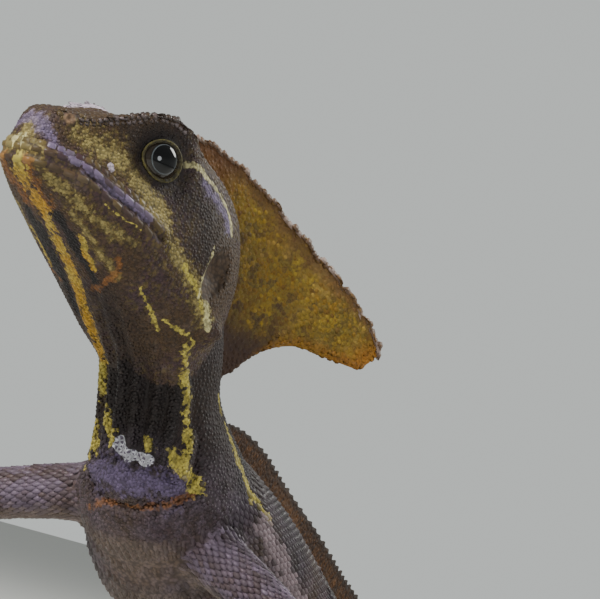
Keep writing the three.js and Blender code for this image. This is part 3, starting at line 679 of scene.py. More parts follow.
def hide_markings():
    """The node group that gives skin and scales the same colours."""
    group = bpy.data.node_groups.new("hide markings", "ShaderNodeTree")
    group.interface.new_socket("Color", in_out="OUTPUT", socket_type="NodeSocketColor")
    group.interface.new_socket("Place", in_out="INPUT", socket_type="NodeSocketVector")
    place = Socket(group, group.nodes.new("NodeGroupInput").outputs[0])
    broad = grain(group, place, 90.0, 4.0)
    mottle = grain(group, place, 330.0, 4.0, 0.6)
    fleck = grain(group, place, 1150.0, 3.0, 0.65)
    head = attribute(group, "headness")
    color = broad.step(0.36, 0.66).colors(UMBER, PLUM)
    color = (mottle.step(0.52, 0.74) * 0.5).colors(color, DUST)
    # Head: olive and brown grain over the cheeks
    cheek = (fleck.step(0.40, 0.66) * head * broad.step(0.38, 0.6)) * 0.8
    color = cheek.colors(color, OLIVE)
    # Painted shade: near black behind the eyes, under the throat, in the folds above the eyes and on the neck
    # under the head
    color = (attribute(group, "painted_shade") * (0.68 + 0.3 * mottle)).colors(color, SHADE_DARK)
    # Dark bars across trunk, legs and tail
    bars = start(group).node(
        "ShaderNodeTexWave",
        {0: place, 1: 16.0, 2: 3.5, 3: 2.0, 4: 2.0},
        output=1,
        bands_direction="Y",
    )
    color = ((1 - head) * bars.step(0.62, 0.9) * 0.65).colors(color, INK)
    bloom = 0.25 + (mottle + (fleck - 0.5) * 0.6).step(0.34, 0.66) * 0.75
    color = (attribute(group, "mauve") * bloom).colors(color, MAUVE)
    color = (attribute(group, "belly") * (0.45 + 0.45 * mottle)).colors(color, BELLY)
    # Stripes and patches, whose edges the grain breaks up
    rough_edge = (mottle - 0.5) * 1.5 + (fleck - 0.5) * 1.9
    warm = attribute(group, "warm") * (1 - broad.step(0.50, 0.62) * 0.6)
    for mark, raggedness, low, high, strength, paint in (
        ("olive", 1.0, 0.12, 0.70, 0.85, OLIVE),
        ("olive", 1.3, 0.50, 1.05, 0.85, TAN),
        ("violet", 1.0, 0.30, 0.85, 0.8, head.colors(THROAT_VIOLET, VIOLET)),
        ("orange", 1.0, 0.42, 0.85, 0.8, RUST),
        ("black", 0.8, 0.30, 0.62, 1.0, INK),
        ("gold", 1.0, 0.42, 0.74, 0.94, warm.colors(LEMON, GOLD)),
        ("pale", 0.5, 0.44, 0.70, 0.9, head.colors(FLANK, CREAM)),
        ("lilac", 0.5, 0.44, 0.70, 0.9, LILAC),
    ):
        area = (attribute(group, mark) + rough_edge * raggedness).step(low, high)
        color = (area * strength).colors(color, paint)
    mesh_lines = start(group).node(
        "ShaderNodeTexVoronoi", {0: place, 2: 1500.0}, feature="DISTANCE_TO_EDGE"
    )
    net = (attribute(group, "net") + (mottle - 0.5) * 0.3).step(0.40, 0.46)
    color = net.colors(color, mesh_lines.step(0.13, 0.22).colors(NET_THREAD, NET_HOLE))
    for mark, strength, paint in (
        ("nostril", 0.75, NOSTRIL_SKIN),
        ("ear", 0.85, EAR_SKIN),
        ("lid", 0.9, LID_SKIN),
        ("lid_rim", 0.75, LID_EDGE),
    ):
        color = (attribute(group, mark) * strength).colors(color, paint)
    # Painted shade: the slit of the mouth and the holes of the nostrils laid near black
    color = attribute(group, "crease").step(0.1, 0.9).colors(color, CREASE_SHADE)
    result = group.nodes.new("NodeGroupOutput")
    group.links.new(color.socket, result.inputs[0])
    return group


markings = hide_markings()


def new_material(name):
    material = bpy.data.materials.new(name)
    material.use_nodes = True
    tree = material.node_tree
    tree.nodes.clear()
    surface = tree.nodes.new("ShaderNodeBsdfPrincipled")
    result = tree.nodes.new("ShaderNodeOutputMaterial")
    tree.links.new(surface.outputs[0], result.inputs[0])
    return material, tree, surface


def feed(tree, surface, name, value):
    tree.links.new(value.socket, surface.inputs[name])


def marked_color(tree, root=None):
    """The hide's colour at this place, or at the root of the scale."""
    group = tree.nodes.new("ShaderNodeGroup")
    group.node_tree = markings
    tree.links.new(pattern_place(tree, root).socket, group.inputs[0])
    return Socket(tree, group.outputs[0])


skin_paint, tree, surface = new_material("bare hide")
place = pattern_place(tree)
cells = place.node("ShaderNodeTexVoronoi", {0: place, 2: 1500.0}, feature="F1")
wrinkle = grain(tree, place, 800.0, 4.0)
height = (1 - cells) * 0.7 + wrinkle * 0.5
color = marked_color(tree)
feed(tree, surface, "Base Color", (cells.step(0.3, 0.75) * 0.55).colors(color, INK))
feed(tree, surface, "Roughness", 0.5 + 0.3 * wrinkle)
surface.inputs["Specular IOR Level"].default_value = 0.22
bump = height.node("ShaderNodeBump", {"Height": height, "Strength": 0.55, "Distance": 0.0003})
feed(tree, surface, "Normal", bump)

sheet.materials.clear()
sheet.materials.append(skin_paint)
skin = added("skin", sheet)
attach(skin, "root")
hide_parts(*FLESH)

# Eyes
# Each eye is one wet ball: a nearly black iris with a thin pale ring round the pupil, under a clear bulging
# cornea. It sits in the socket behind the rims of its two lids.
PUPIL = (0.0012, 0.0012, 0.0015)
IRIS_DARK = (0.006, 0.005, 0.004)
IRIS_BROWN = (0.017, 0.012, 0.008)
IRIS_RING = (0.085, 0.10, 0.11)
WHITE_OF_EYE = (0.006, 0.004, 0.004)
CORNEA_BULGE = 0.055
eye_paint, tree, surface = new_material("eye")
gaze = attribute(tree, "gaze")
threads = grain(tree, pattern_place(tree), 2600.0, 3.0)
color = (gaze + (threads - 0.5) * 3.0).step(30, 42).colors(IRIS_DARK, IRIS_BROWN)
color = gaze.step(30, 31).colors(PUPIL, color)
ring = gaze.step(29.6, 30.8) * (1 - gaze.step(31.6, 33.2))
color = (ring * (0.35 + 0.5 * threads)).colors(color, IRIS_RING)
color = gaze.step(50, 56).colors(color, WHITE_OF_EYE)
feed(tree, surface, "Base Color", color)
surface.inputs["Roughness"].default_value = 0.35
surface.inputs["Specular IOR Level"].default_value = 0.0
surface.inputs["Coat Weight"].default_value = 1.0
surface.inputs["Coat Roughness"].default_value = 0.03
surface.inputs["Coat IOR"].default_value = 1.38
for side_name, sign in (("left", 1), ("right", -1)):
    ball = bmesh.new()
    bmesh.ops.create_uvsphere(ball, u_segments=72, v_segments=48, radius=1)
    ball_mesh = bpy.data.meshes.new(f"eye ball {side_name}")
    ball.to_mesh(ball_mesh)
    ball.free()
    sphere = read(ball_mesh.vertices, "co").astype(float)
    # Degrees from the middle of the pupil
    angle = np.degrees(np.arccos(sphere[:, 2].clip(-1, 1)))
    bulge = 1 + CORNEA_BULGE * (1 - eased(22, 46, angle))
    axis = EYE_AXIS * [1, sign, 1]
    across = unit(np.cross([0, 0, 1], axis))
    turned = sphere[:, :1] * across + sphere[:, 1:2] * np.cross(axis, across) + sphere[:, 2:] * axis
    ball_points = EYE_PLACE * [1, sign, 1] + turned * (EYE_BALL - 0.05) * bulge[:, None]
    set_coordinates(ball_mesh, from_head(ball_points))
    store(ball_mesh, "gaze", angle)
    smooth(ball_mesh)
    ball_mesh.materials.append(eye_paint)
    eye = added(f"eyeball_{side_name}", ball_mesh)
    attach(eye, "root")
    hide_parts(f"eye_{side_name}")

# Scales
# The coat of small dry scales: grains on the face and throat, larger flat ones on the crown, and rows of
# keeled scales round the trunk, legs and tail. Each has the colour of the hide at its root.
# The middle line of the body, from behind the head to the root of the tail
BODY_LINE = [
    (-3.6, -15, 87), (-1.4, -8.5, 79.5), (-0.2, -4.6, 71), (0, -2, 63), (0, 2, 55.5), (0, 10, 47.5),
    (0, 24, 42), (0, 38, 36), (0, 54, 29.2), (0, 70, 22.8), (0, 86, 18), (0, 100, 15.2), (0, 112, 13.2),
    (0.2, 124, 11), (0.6, 136, 9.2),
]
TAIL_LENGTH = 430
TAIL_RADII = (8, 0.7)


def between(ends, share):
    return ends[0] + share * (ends[1] - ends[0])


def tail_radius(share):
    """Half the tail's thickness, by share of its length from the root."""
    return between(TAIL_RADII, share**0.72)


def tail_line(knots=120):
    """The tail's middle line on the floor: back, round to the left, and a little back again at the tip."""
    line = [np.array(BODY_LINE[-1], float)]
    for number in range(1, knots + 1):
        share = np.array((number - 0.5) / knots)
        heading = math.radians(4 + 128 * eased(0, 0.72, share) - 62 * eased(0.62, 1, share))
        step = line[-1] + TAIL_LENGTH / knots * np.array([math.sin(heading), math.cos(heading), 0])
        step[2] = tail_radius(number / knots) * 1.12 - 0.15
        line.append(step)
    return np.array(line)


skin_tree = BVHTree.FromPolygons(
    [Vector(point) for point in points * MM],
    [list(polygon.vertices) for polygon in sheet.polygons],
)
face_corner = np.array([polygon.vertices[0] for polygon in sheet.polygons])


# Rings of scales stand this share of a scale apart, and no ring is laid as if wider than this radius
RING_SPACING = 0.78
WIDEST_RING = 22


def row_roots(line, nodes, pitch, tip_pitch=None):
    """Roots of scales in staggered rings round a line, where the skin there belongs to the named solids."""
    tip_pitch = tip_pitch or pitch
    centres, shares = resampled(line, (pitch + tip_pitch) / 2 * RING_SPACING)
    roots, outs, lies, sizes, corners = [], [], [], [], []
    for number in range(1, len(centres) - 1):
        way = centres[number + 1] - centres[number - 1]
        way /= np.linalg.norm(way)
        left = np.cross(way, [0, 0, 1.0])
        if np.linalg.norm(left) < 0.1:
            left = np.array([1.0, 0, 0])
        left /= np.linalg.norm(left)
        up = np.cross(left, way)
        size = pitch + (tip_pitch - pitch) * shares[number]
        centre = Vector((centres[number] + ground_point) * MM)
        trial = skin_tree.ray_cast(centre, Vector(up))
        radius = (trial[3] or 0.004) * 1000
        around = max(6, round(2 * math.pi * min(radius, WIDEST_RING) / size))
        for step in range(around):
            turn = 2 * math.pi * (step + 0.5 * (number % 2)) / around
            hit = skin_tree.ray_cast(centre, Vector(math.cos(turn) * left + math.sin(turn) * up))
            if hit[0] is None:
                continue
            corner = face_corner[hit[2]]
            if nearest_node[corner] not in nodes:
                continue
            roots.append(hit[0])
            outs.append(hit[1])
            lies.append(way)
            sizes.append(size)
            corners.append(corner)
    return np.array(roots), np.array(outs), np.array(lies), np.array(sizes), np.array(corners, int)


def roots_mesh(name, parts):
    """A mesh of loose points that carry the place, lie, size and marks of their scales."""
    roots, outs, lies, sizes, corners = (np.concatenate(values) for values in zip(*parts))
    mesh = bpy.data.meshes.new(name)
    mesh.vertices.add(len(roots))
    mesh.vertices.foreach_set("co", roots.astype(np.float32).ravel())
    store_vectors(mesh, "out", outs)
    store_vectors(mesh, "lie", lies)
    store(mesh, "size", sizes)
    for mark, values in marks.items():
        store(mesh, mark, values[corners])
    return mesh


def scale_form(name, outline, ridge, sunk=-0.16):
    """One scale of unit length along X: a rim sunk in the skin, a raised ridge, and a closed underside."""
    rim = len(outline)
    places = [(x, y, sunk) for x, y in outline] + [tuple(place) for place in ridge]
    form = bmesh.new()
    verts = [form.verts.new(place) for place in places]
    form.faces.new(list(reversed(verts[:rim])))
    for number in range(rim):
        first, second = verts[number], verts[(number + 1) % rim]
        tops = [
            min(verts[rim:], key=lambda top, at=at: (top.co.x - at.co.x) ** 2 + (top.co.y - at.co.y) ** 2)
            for at in (first, second)
        ]
        if tops[0] is tops[1]:
            form.faces.new([first, second, tops[0]])
        else:
            form.faces.new([first, second, tops[1], tops[0]])
    bmesh.ops.recalc_face_normals(form, faces=form.faces)
    mesh = bpy.data.meshes.new(name)
    form.to_mesh(mesh)
    form.free()
    smooth(mesh)
    store_vectors(mesh, "patch", [(x, y, 0) for x, y, _ in places])
    store(mesh, "rim", [1.0] * rim + [0.0] * len(ridge))
    return added(name, mesh)


def ring_outline(count, length, width):
    """The corners of an oval scale, seen from above."""
    turns = [2 * math.pi * (corner + 0.5) / count for corner in range(count)]
    return [(0.5 * length * math.cos(turn), 0.5 * width * math.sin(turn)) for turn in turns]


grain_form = scale_form("grain", ring_outline(6, length=1.12, width=1.05), [(0.05, 0, 0.30)])
shield_form = scale_form("shield", ring_outline(7, length=1.2, width=1.15), [(-0.12, 0, 0.17), (0.2, 0, 0.2)])
keeled_form = scale_form(
    "keeled scale",
    [(-0.55, 0.0), (-0.3, -0.42), (0.2, -0.44), (0.72, 0.0), (0.2, 0.44), (-0.3, 0.42)],
    [(-0.3, 0, 0.16), (0.52, 0, 0.34)],
)


class Flow:
    """Builds a Geometry Nodes tree, one named node after another."""

    def __init__(self, name):
        self.tree = bpy.data.node_groups.new(name, "GeometryNodeTree")
        self.inputs = self.tree.nodes.new("NodeGroupInput")
        self.tree.interface.new_socket("Geometry", in_out="OUTPUT", socket_type="NodeSocketGeometry")
        self.named("Geometry", "NodeSocketGeometry")

    def named(self, name, kind):
        item = self.tree.interface.new_socket(name, in_out="INPUT", socket_type=kind)
        return next(output for output in self.inputs.outputs if output.identifier == item.identifier)

    def step(self, kind, wires=(), **settings):
        node = self.tree.nodes.new(kind)
        for name, value in settings.items():
            setattr(node, name, value)
        for name, value in dict(wires).items():
            if isinstance(name, str):
                target = next(s for s in node.inputs if s.name == name and s.enabled)
            else:
                target = node.inputs[name]
            if isinstance(value, bpy.types.NodeSocket):
                self.tree.links.new(value, target)
            else:
                target.default_value = value
        return node

    def reads(self, name, kind="FLOAT"):
        node = self.step("GeometryNodeInputNamedAttribute", {"Name": name}, data_type=kind)
        return next(output for output in node.outputs if output.enabled and output.name == "Attribute")

    def keeps(self, geometry, name, value, kind="FLOAT"):
        node = self.step(
            "GeometryNodeStoreNamedAttribute",
            {"Geometry": geometry, "Name": name, "Value": value},
            data_type=kind,
            domain="POINT",
        )
        return node.outputs[0]

    def ends(self, geometry):
        result = self.tree.nodes.new("NodeGroupOutput")
        self.tree.links.new(geometry, result.inputs[0])
        return self.tree


def coat_flow(name, scattered):
    """Scales on points: scattered over a skin at least a spacing apart, or one on each given root."""
    flow = Flow(name)
    geometry = flow.inputs.outputs[0]
    form = flow.named("Scale", "NodeSocketObject")
    spacing = flow.named("Spacing", "NodeSocketFloat")
    height = flow.named("Height", "NodeSocketFloat")
    seed = flow.named("Seed", "NodeSocketInt")
    paint = flow.named("Material", "NodeSocketMaterial")
    if scattered:
        spread = flow.step(
            "GeometryNodeDistributePointsOnFaces",
            {"Mesh": geometry, "Distance Min": spacing, "Density Max": 9.0e6,
             "Density Factor": flow.reads("scaled"), "Seed": seed},
            distribute_method="POISSON",
        )
        dots = flow.keeps(spread.outputs["Points"], "out", spread.outputs["Normal"], "FLOAT_VECTOR")
    else:
        dots = flow.step("GeometryNodeMeshToPoints", {"Mesh": geometry}).outputs[0]
    width = flow.step("ShaderNodeMath", {0: spacing, 1: flow.reads("size")}, operation="MULTIPLY").outputs[0]
    place = flow.step("GeometryNodeInputPosition").outputs[0]
    dots = flow.keeps(dots, "root", place, "FLOAT_VECTOR")
    chance = flow.step(
        "FunctionNodeRandomValue", {"Min": 0.0, "Max": 1.0, "Seed": seed}, data_type="FLOAT"
    )
    chance = next(output for output in chance.outputs if output.enabled)
    dots = flow.keeps(dots, "tone", chance)
    vary = flow.step("ShaderNodeMath", {0: chance, 1: 0.3, 2: 0.87}, operation="MULTIPLY_ADD").outputs[0]
    width = flow.step("ShaderNodeMath", {0: width, 1: vary}, operation="MULTIPLY").outputs[0]
    tall = flow.step("ShaderNodeMath", {0: width, 1: height}, operation="MULTIPLY").outputs[0]
    extent = flow.step("ShaderNodeCombineXYZ", {0: width, 1: width, 2: tall}).outputs[0]
    turn = flow.step(
        "FunctionNodeAxesToRotation",
        {0: flow.reads("out", "FLOAT_VECTOR"), 1: flow.reads("lie", "FLOAT_VECTOR")},
        primary_axis="Z",
        secondary_axis="X",
    ).outputs[0]
    shape = flow.step("GeometryNodeObjectInfo", {"Object": form}, transform_space="ORIGINAL")
    placed = flow.step(
        "GeometryNodeInstanceOnPoints",
        {"Points": dots, "Instance": shape.outputs["Geometry"], "Rotation": turn, "Scale": extent},
    )
    real = flow.step("GeometryNodeRealizeInstances", {0: placed.outputs[0]}).outputs[0]
    real = flow.step("GeometryNodeSetMaterial", {"Geometry": real, "Material": paint}).outputs[0]
    return flow.ends(real)


scatter_flow = coat_flow("scattered scales", scattered=True)
rows_flow = coat_flow("rows of scales", scattered=False)
# The size of one scale on the skin laid flat
PATCH_SIZE = 0.003


def unwrapped(roots, lines):
    """Each root's place on the skin laid flat: along the nearest line and round it, a strip for each line."""
    roots = roots * 1000 - ground_point
    best = np.full(len(roots), 1e9)
    flat = np.zeros((len(roots), 2))
    for number, line in enumerate(lines):
        line = np.asarray(line, float)
        gap, way = line_distance(roots, line)
        lengths = lengths_along(line)
        tangent = unit(line[-1] - line[0])
        left = unit(np.cross(tangent, [0, 0, 1.0]))
        up = np.cross(left, tangent)
        from_line = roots - at_lengths(line, lengths, way * lengths[-1])
        turn = np.arctan2(from_line @ left, from_line @ up) / (2 * math.pi) + 0.5
        strip = np.stack([(number + 0.03 + 0.94 * turn) / len(lines), 0.02 + 0.96 * way], axis=1)
        nearer = gap < best
        best[nearer] = gap[nearer]
        flat[nearer] = strip[nearer]
    return flat


def lay_flat(mesh, roots, patches, lines):
    """The layout for baking: each scale is a small patch where its root lies on the skin laid flat."""
    flat = unwrapped(roots, lines) + PATCH_SIZE * patches[:, :2]
    corner_verts = read(mesh.loops, "vertex_index", 1, np.int32).ravel()
    layer = mesh.uv_layers.new(name="OFBake")
    layer.uv.foreach_set("vector", flat[corner_verts].astype(np.float32).ravel())


def grow_coat(name, ground, flow, form, spacing, height, seed, paint, lines):
    """Runs the flow over a mesh of skin or roots and keeps the result as one plain piece."""
    base = added(name + " ground", ground)
    grower = base.modifiers.new("coat", "NODES")
    grower.node_group = flow
    wanted = {"Scale": form, "Spacing": spacing, "Height": height, "Seed": seed, "Material": paint}
    for item in flow.interface.items_tree:
        if item.item_type == "SOCKET" and item.in_out == "INPUT" and item.name in wanted:
            grower[item.identifier] = wanted[item.name]
    base.update_tag()
    reader = bpy.context.evaluated_depsgraph_get()
    reader.update()
    mesh = bpy.data.meshes.new_from_object(base.evaluated_get(reader))
    bpy.data.objects.remove(base)
    roots = read(mesh.attributes["root"].data, "vector").astype(float)
    patches = read(mesh.attributes["patch"].data, "vector").astype(float)
    lay_flat(mesh, roots, patches, lines)
    piece = added(name, mesh)
    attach(piece, "root")
    return piece


scale_paint, tree, surface = new_material("scales")
tone = attribute(tree, "tone")
rim = attribute(tree, "rim")
color = marked_color(tree, "root")
color = (tone.step(0.0, 0.9) * 0.34).colors(color, INK)
color = (rim.step(0.55, 1.0) * 0.5).colors(color, INK)
feed(tree, surface, "Base Color", color)
feed(tree, surface, "Roughness", 0.36 + 0.22 * tone)
surface.inputs["Specular IOR Level"].default_value = 0.22

# The lie of the scales over the skin, along the nearest of these lines, and where the scattered ones grow
LINES = {"body": BODY_LINE, "tail": tail_line()}
for kind, sign in STANCE:
    LINES[kind, sign] = leg_joints(kind, sign)
lie = np.zeros_like(points)
nearest_gap = np.full(len(points), 1e9)
for line in LINES.values():
    line = np.asarray(line, float)
    for number in range(len(line) - 1):
        gap, _ = line_distance(stance, line[number : number + 2])
        nearer = gap < nearest_gap
        nearest_gap[nearer] = gap[nearer]
        lie[nearer] = line[number + 1] - line[number]
lie[is_head] = -forward - 0.25 * upward
store_vectors(sheet, "lie", lie)
SPINE = [(21, 0, -7), (10, 0, -6), (0, 0, -8), (-12, 0, -12), (-24, 0, -20)]
HEAD_LINE = from_head(SPINE) - ground_point

crown = is_head & (normals @ upward > 0.45) & (folded[:, 0] < 19)
plated = (mouth_gap < 2.3) & (folded[:, 0] > -2.5)
free_of_scales = (ear_gap < 0.95) | (nostril_gap < 1.35) | (near_eye & (opening < 1.24))
reach_size = np.where(near_eye, 0.55 + 0.45 * eased(1.2, 2.0, opening), 1.0)


def scaled_copy(where, sizes):
    """The skin again, marked with where the scattered scales grow and how large they are."""
    copy = sheet.copy()
    store(copy, "scaled", where.astype(float))
    store(copy, "size", sizes)
    return copy


face = is_head & ~crown & ~free_of_scales & (mouth_gap >= 0.5)
under_net = nearness(NET_TRUNK, stance) > 0.32
neck_side = (nearest_node == "neck") & ~under_net
grow_coat(
    "face_scales", scaled_copy(face & ~plated, reach_size * 1.55), scatter_flow, grain_form,
    spacing=0.50 * MM, height=0.5, seed=3, paint=scale_paint, lines=[HEAD_LINE],
)
grow_coat(
    "crown_scales", scaled_copy(crown & ~free_of_scales, np.full(len(points), 1.4)), scatter_flow,
    shield_form, spacing=0.95 * MM, height=0.5, seed=5, paint=scale_paint, lines=[HEAD_LINE],
)
grow_coat(
    "neck_scales", scaled_copy(neck_side, np.full(len(points), 1.55)), scatter_flow, grain_form,
    spacing=0.58 * MM, height=0.5, seed=7, paint=scale_paint, lines=[BODY_LINE],
)
hands_and_feet = np.isin(nearest_node, TOED)
grow_coat(
    "toe_scales", scaled_copy(hands_and_feet, np.full(len(points), 1.45)), scatter_flow, grain_form,
    spacing=0.62 * MM, height=0.5, seed=9, paint=scale_paint, lines=[LINES[key] for key in STANCE],
)
trunk_roots = row_roots(BODY_LINE, {"chest", "belly", "hips"}, pitch=1.15)
grow_coat(
    "trunk_scales", roots_mesh("trunk roots", [trunk_roots]), rows_flow, keeled_form,
    spacing=1.28 * MM, height=0.62, seed=11, paint=scale_paint, lines=[BODY_LINE],
)
tail_roots = row_roots(LINES["tail"], {f"tail_{number}" for number in range(1, 7)}, pitch=1.5, tip_pitch=0.75)
grow_coat(
    "tail_scales", roots_mesh("tail roots", [tail_roots]), rows_flow, keeled_form,
    spacing=1.3 * MM, height=0.62, seed=13, paint=scale_paint, lines=[LINES["tail"]],
)
for kind, upper, lower, pitch in (("fore", "upper_arm", "forearm", 1.2), ("hind", "thigh", "shank", 1.3)):
    parts = []
    for sign, side_name in ((1, "left"), (-1, "right")):
        nodes = {f"{upper}_{side_name}", f"{lower}_{side_name}"}
        parts.append(row_roots(LINES[kind, sign], nodes, pitch))
    grow_coat(
        f"{kind}leg_scales", roots_mesh(f"{kind} leg roots", parts), rows_flow, keeled_form,
        spacing=1.3 * MM, height=0.62, seed=17, paint=scale_paint, lines=[LINES[kind, 1], LINES[kind, -1]],
    )

# Lip plates
# Rows of flat horny plates along both lips, from one corner of the mouth round the snout to the other. Each
# lies on the skin it grew from and overlaps the crease beside it a little.
def lip_plates(name, rows, count, plate_height):
    """Rows of plates along the line of the mouth. Each row has its lower and upper height over that line,
    the share of a plate by which it is shifted, and how many times the count it holds."""
    half = np.array(MOUTH[1:], float)
    whole = np.concatenate([half[::-1], [MOUTH[0]], half * [1, -1, 1]])
    lengths = lengths_along(whole)
    across_steps, along_steps = 5, 6
    verts, faces, roots, patches, rims, tones, corners = [], [], [], [], [], [], []
    chance = np.random.default_rng(21)

    def on_skin(way, rise):
        """The place on the skin some way along the lips and some height above the line of the mouth."""
        behind, place, ahead = at_lengths(whole, lengths, way + np.array([-0.8, 0, 0.8]))
        outward = unit(np.cross([0, 0, 1.0], unit(ahead - behind)))
        start_at = from_head(place + [0, 0, rise] + outward * 5) * MM
        return skin_tree.ray_cast(Vector(start_at), Vector(-outward @ head_frame))

    for low_rise, high_rise, shift, more in rows:
        total = round(count * more)
        for number in range(total):
            pitch = (lengths[-1] - 1.2) / total
            middle_way = 0.6 + pitch * (number + 0.5 + shift)
            if middle_way > lengths[-1] - 0.8:
                continue
            centre = on_skin(middle_way, (low_rise + high_rise) / 2)
            if centre[0] is None:
                continue
            tone = chance.random()
            first = len(verts)
            for j in range(across_steps):
                for i in range(along_steps):
                    a = 2 * i / (along_steps - 1) - 1
                    b = 2 * j / (across_steps - 1) - 1
                    way = middle_way + a * pitch * 0.49
                    rise = (low_rise + high_rise) / 2 + b * (high_rise - low_rise) / 2
                    hit = on_skin(way, rise)
                    if hit[0] is None:
                        hit = centre
                    swell = (1 - a**4) * (1 - b**4)
                    verts.append(hit[0] + hit[1] * (plate_height * swell - 0.10) * MM)
                    roots.append(centre[0])
                    patches.append((a / 2, b / 2, 0))
                    rims.append(max(abs(a), abs(b)) ** 3)
                    tones.append(tone)
                    corners.append(face_corner[centre[2]])
            for j in range(across_steps - 1):
                for i in range(along_steps - 1):
                    corner = first + j * along_steps + i
                    faces.append((corner, corner + 1, corner + 1 + along_steps, corner + along_steps))
    mesh = bpy.data.meshes.new(name)
    mesh.from_pydata([tuple(vert) for vert in verts], [], faces)
    shell = bmesh.new()
    shell.from_mesh(mesh)
    for face in shell.faces:
        outside = Vector(normals[corners[face.verts[0].index]])
        if face.normal.dot(outside) < 0:
            face.normal_flip()
    shell.to_mesh(mesh)
    shell.free()
    store_vectors(mesh, "root", roots)
    store_vectors(mesh, "patch", patches)
    store(mesh, "rim", rims)
    store(mesh, "tone", tones)
    # The plates take the hide's marks but not the painted shade of the mouth slit
    for mark, values in marks.items():
        store(mesh, mark, values[corners] * (mark != "crease"))
    smooth(mesh)
    mesh.materials.append(scale_paint)
    lay_flat(mesh, np.array(roots, float), np.array(patches), [HEAD_LINE])
    piece = added(name, mesh)
    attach(piece, "root")


lip_plates("upper_lip_plates", [(0.35, 1.55, 0, 1.0), (1.6, 2.7, 0.5, 1.35)], count=27, plate_height=0.30)
lip_plates("lower_lip_plates", [(-1.7, -0.4, 0.5, 1.0)], count=25, plate_height=0.28)

# Brow plates
# Two rows of overlapping greyish plates that edge the snout and brow from the nostril to behind the eye.
# They are stiffer and larger than the grains beside them, and throw the eye into shade.
BROW_EDGE = [
    (15.9, 5.6, 0.2), (13.3, 6.3, 1.2), (9.4, 7.8, 3.4), (6.5, 8.7, 5.2), (3.6, 9.2, 6.5),
    (0.4, 9.4, 6.9), (-2.8, 9.3, 6.2),
]
BROW_DARK = (0.045, 0.030, 0.024)
BROW_PALE = (0.105, 0.080, 0.082)
brow_roots, brow_out, brow_lie, brow_sizes = [], [], [], []
for sign in (1, -1):
    for lower, pitch in ((0, 0.95), (0.95, 1.0)):
        edge = np.array(BROW_EDGE, float) * [1, sign, 1] + [0, sign * 0.35 * lower, -0.8 * lower]
        edge = resampled(edge, pitch)[0]
        for number in range(len(edge) - 1):
            # The right brow is bare where it has its white patch
            if sign < 0 and -1.5 < edge[number][0] < 12:
                continue
            place, normal = skin_tree.find_nearest(Vector(from_head(edge[number]) * MM))[:2]
            brow_roots.append(np.array(place) - np.array(normal) * 0.05 * MM)
            brow_out.append(unit(np.array(normal) + 0.35 * upward))
            brow_lie.append(unit((edge[number + 1] - edge[number]) @ head_frame))
            brow_sizes.append(1.25 - 0.25 * lower)
brow_mesh = bpy.data.meshes.new("brow roots")
brow_mesh.vertices.add(len(brow_roots))
brow_mesh.vertices.foreach_set("co", np.array(brow_roots, np.float32).ravel())
store_vectors(brow_mesh, "out", brow_out)
store_vectors(brow_mesh, "lie", brow_lie)
store(brow_mesh, "size", brow_sizes)
brow_paint, tree, surface = new_material("brow plates")
tone, rim = attribute(tree, "tone"), attribute(tree, "rim")
color = tone.step(0.1, 0.9).colors(BROW_DARK, BROW_PALE)
feed(tree, surface, "Base Color", (rim.step(0.5, 1.0) * 0.6).colors(color, INK))
feed(tree, surface, "Roughness", 0.32 + 0.2 * tone)
surface.inputs["Specular IOR Level"].default_value = 0.4
brow_coat = grow_coat(
    "brow_plates", brow_mesh, rows_flow, shield_form,
    spacing=1.0 * MM, height=0.5, seed=19, paint=brow_paint, lines=[HEAD_LINE],
)

# Head crest
# A tall thin flap of skin and gristle that rises from the crown and nape. It is amber mottled with brown,
# covered in small flat scales, and edged along its top with a row of soft blunt ones.
# Knots of its upper edge and of its foot, as forward, left and up from between the eyes
CREST = [
    ((-2, 0, 5.6), (-3, 0, 1)), ((-8, 0, 7.9), (-8, 0, -1)), ((-14, 0, 8.9), (-12, 0, -4)),
    ((-20.5, 0, 8.8), (-16, 0, -9)), ((-28.5, 1, 7), (-21, -0.5, -15)), ((-36, 2.6, 4.2), (-27.5, -2, -20.5)),
    ((-43, 4.2, 1.6), (-37, -1.9, -23)), ((-49, 5.8, -0.9), (-41.3, 0.5, -16.8)),
    ((-54, 7, -3.5), (-46.3, 2.5, -13.3)), ((-58, 7.8, -6), (-52, 4.8, -12.7)),
    ((-60.4, 8, -8.2), (-57.6, 7, -12.2)),
]
CREST_DARK = (0.095, 0.048, 0.010)
AMBER = (0.25, 0.14, 0.010)
BRIGHT_AMBER = (0.37, 0.24, 0.018)
PALE_AMBER = (0.42, 0.27, 0.055)
CREST_BROWN = (0.050, 0.028, 0.014)
CREST_BLOTCH = (0.040, 0.025, 0.019)
CREST_GREEN = (0.16, 0.13, 0.025)
CREST_RUST = (0.115, 0.042, 0.014)
CREST_EDGE = (0.10, 0.05, 0.03)
CREST_TIP = (0.30, 0.115, 0.013)
CREST_FOOT = (0.23, 0.095, 0.012)
CREST_LOBE = (0.035, 0.022, 0.022)
CREST_FRONT = (0.07, 0.045, 0.05)
CREST_GAP = (0.05, 0.026, 0.012)
CREST_SHADE = (0.06, 0.03, 0.014)
EDGE_DARK = (0.085, 0.042, 0.018)
EDGE_PALE = (0.26, 0.19, 0.16)


def flowing(knots, share):
    """A smooth line through evenly shared knots."""
    knots = np.asarray(knots, float)
    share = np.asarray(share, float) * (len(knots) - 1)
    number = np.clip(share.astype(int), 0, len(knots) - 2)
    rest = (share - number)[..., None]
    padded = np.concatenate([[2 * knots[0] - knots[1]], knots, [2 * knots[-1] - knots[-2]]])
    before, low, high, after = (padded[number + step] for step in range(4))
    slope_low, slope_high = (high - before) / 2, (after - low) / 2
    return (
        low
        + slope_low * rest
        + (3 * (high - low) - 2 * slope_low - slope_high) * rest**2
        + (2 * (low - high) + slope_low + slope_high) * rest**3
    )


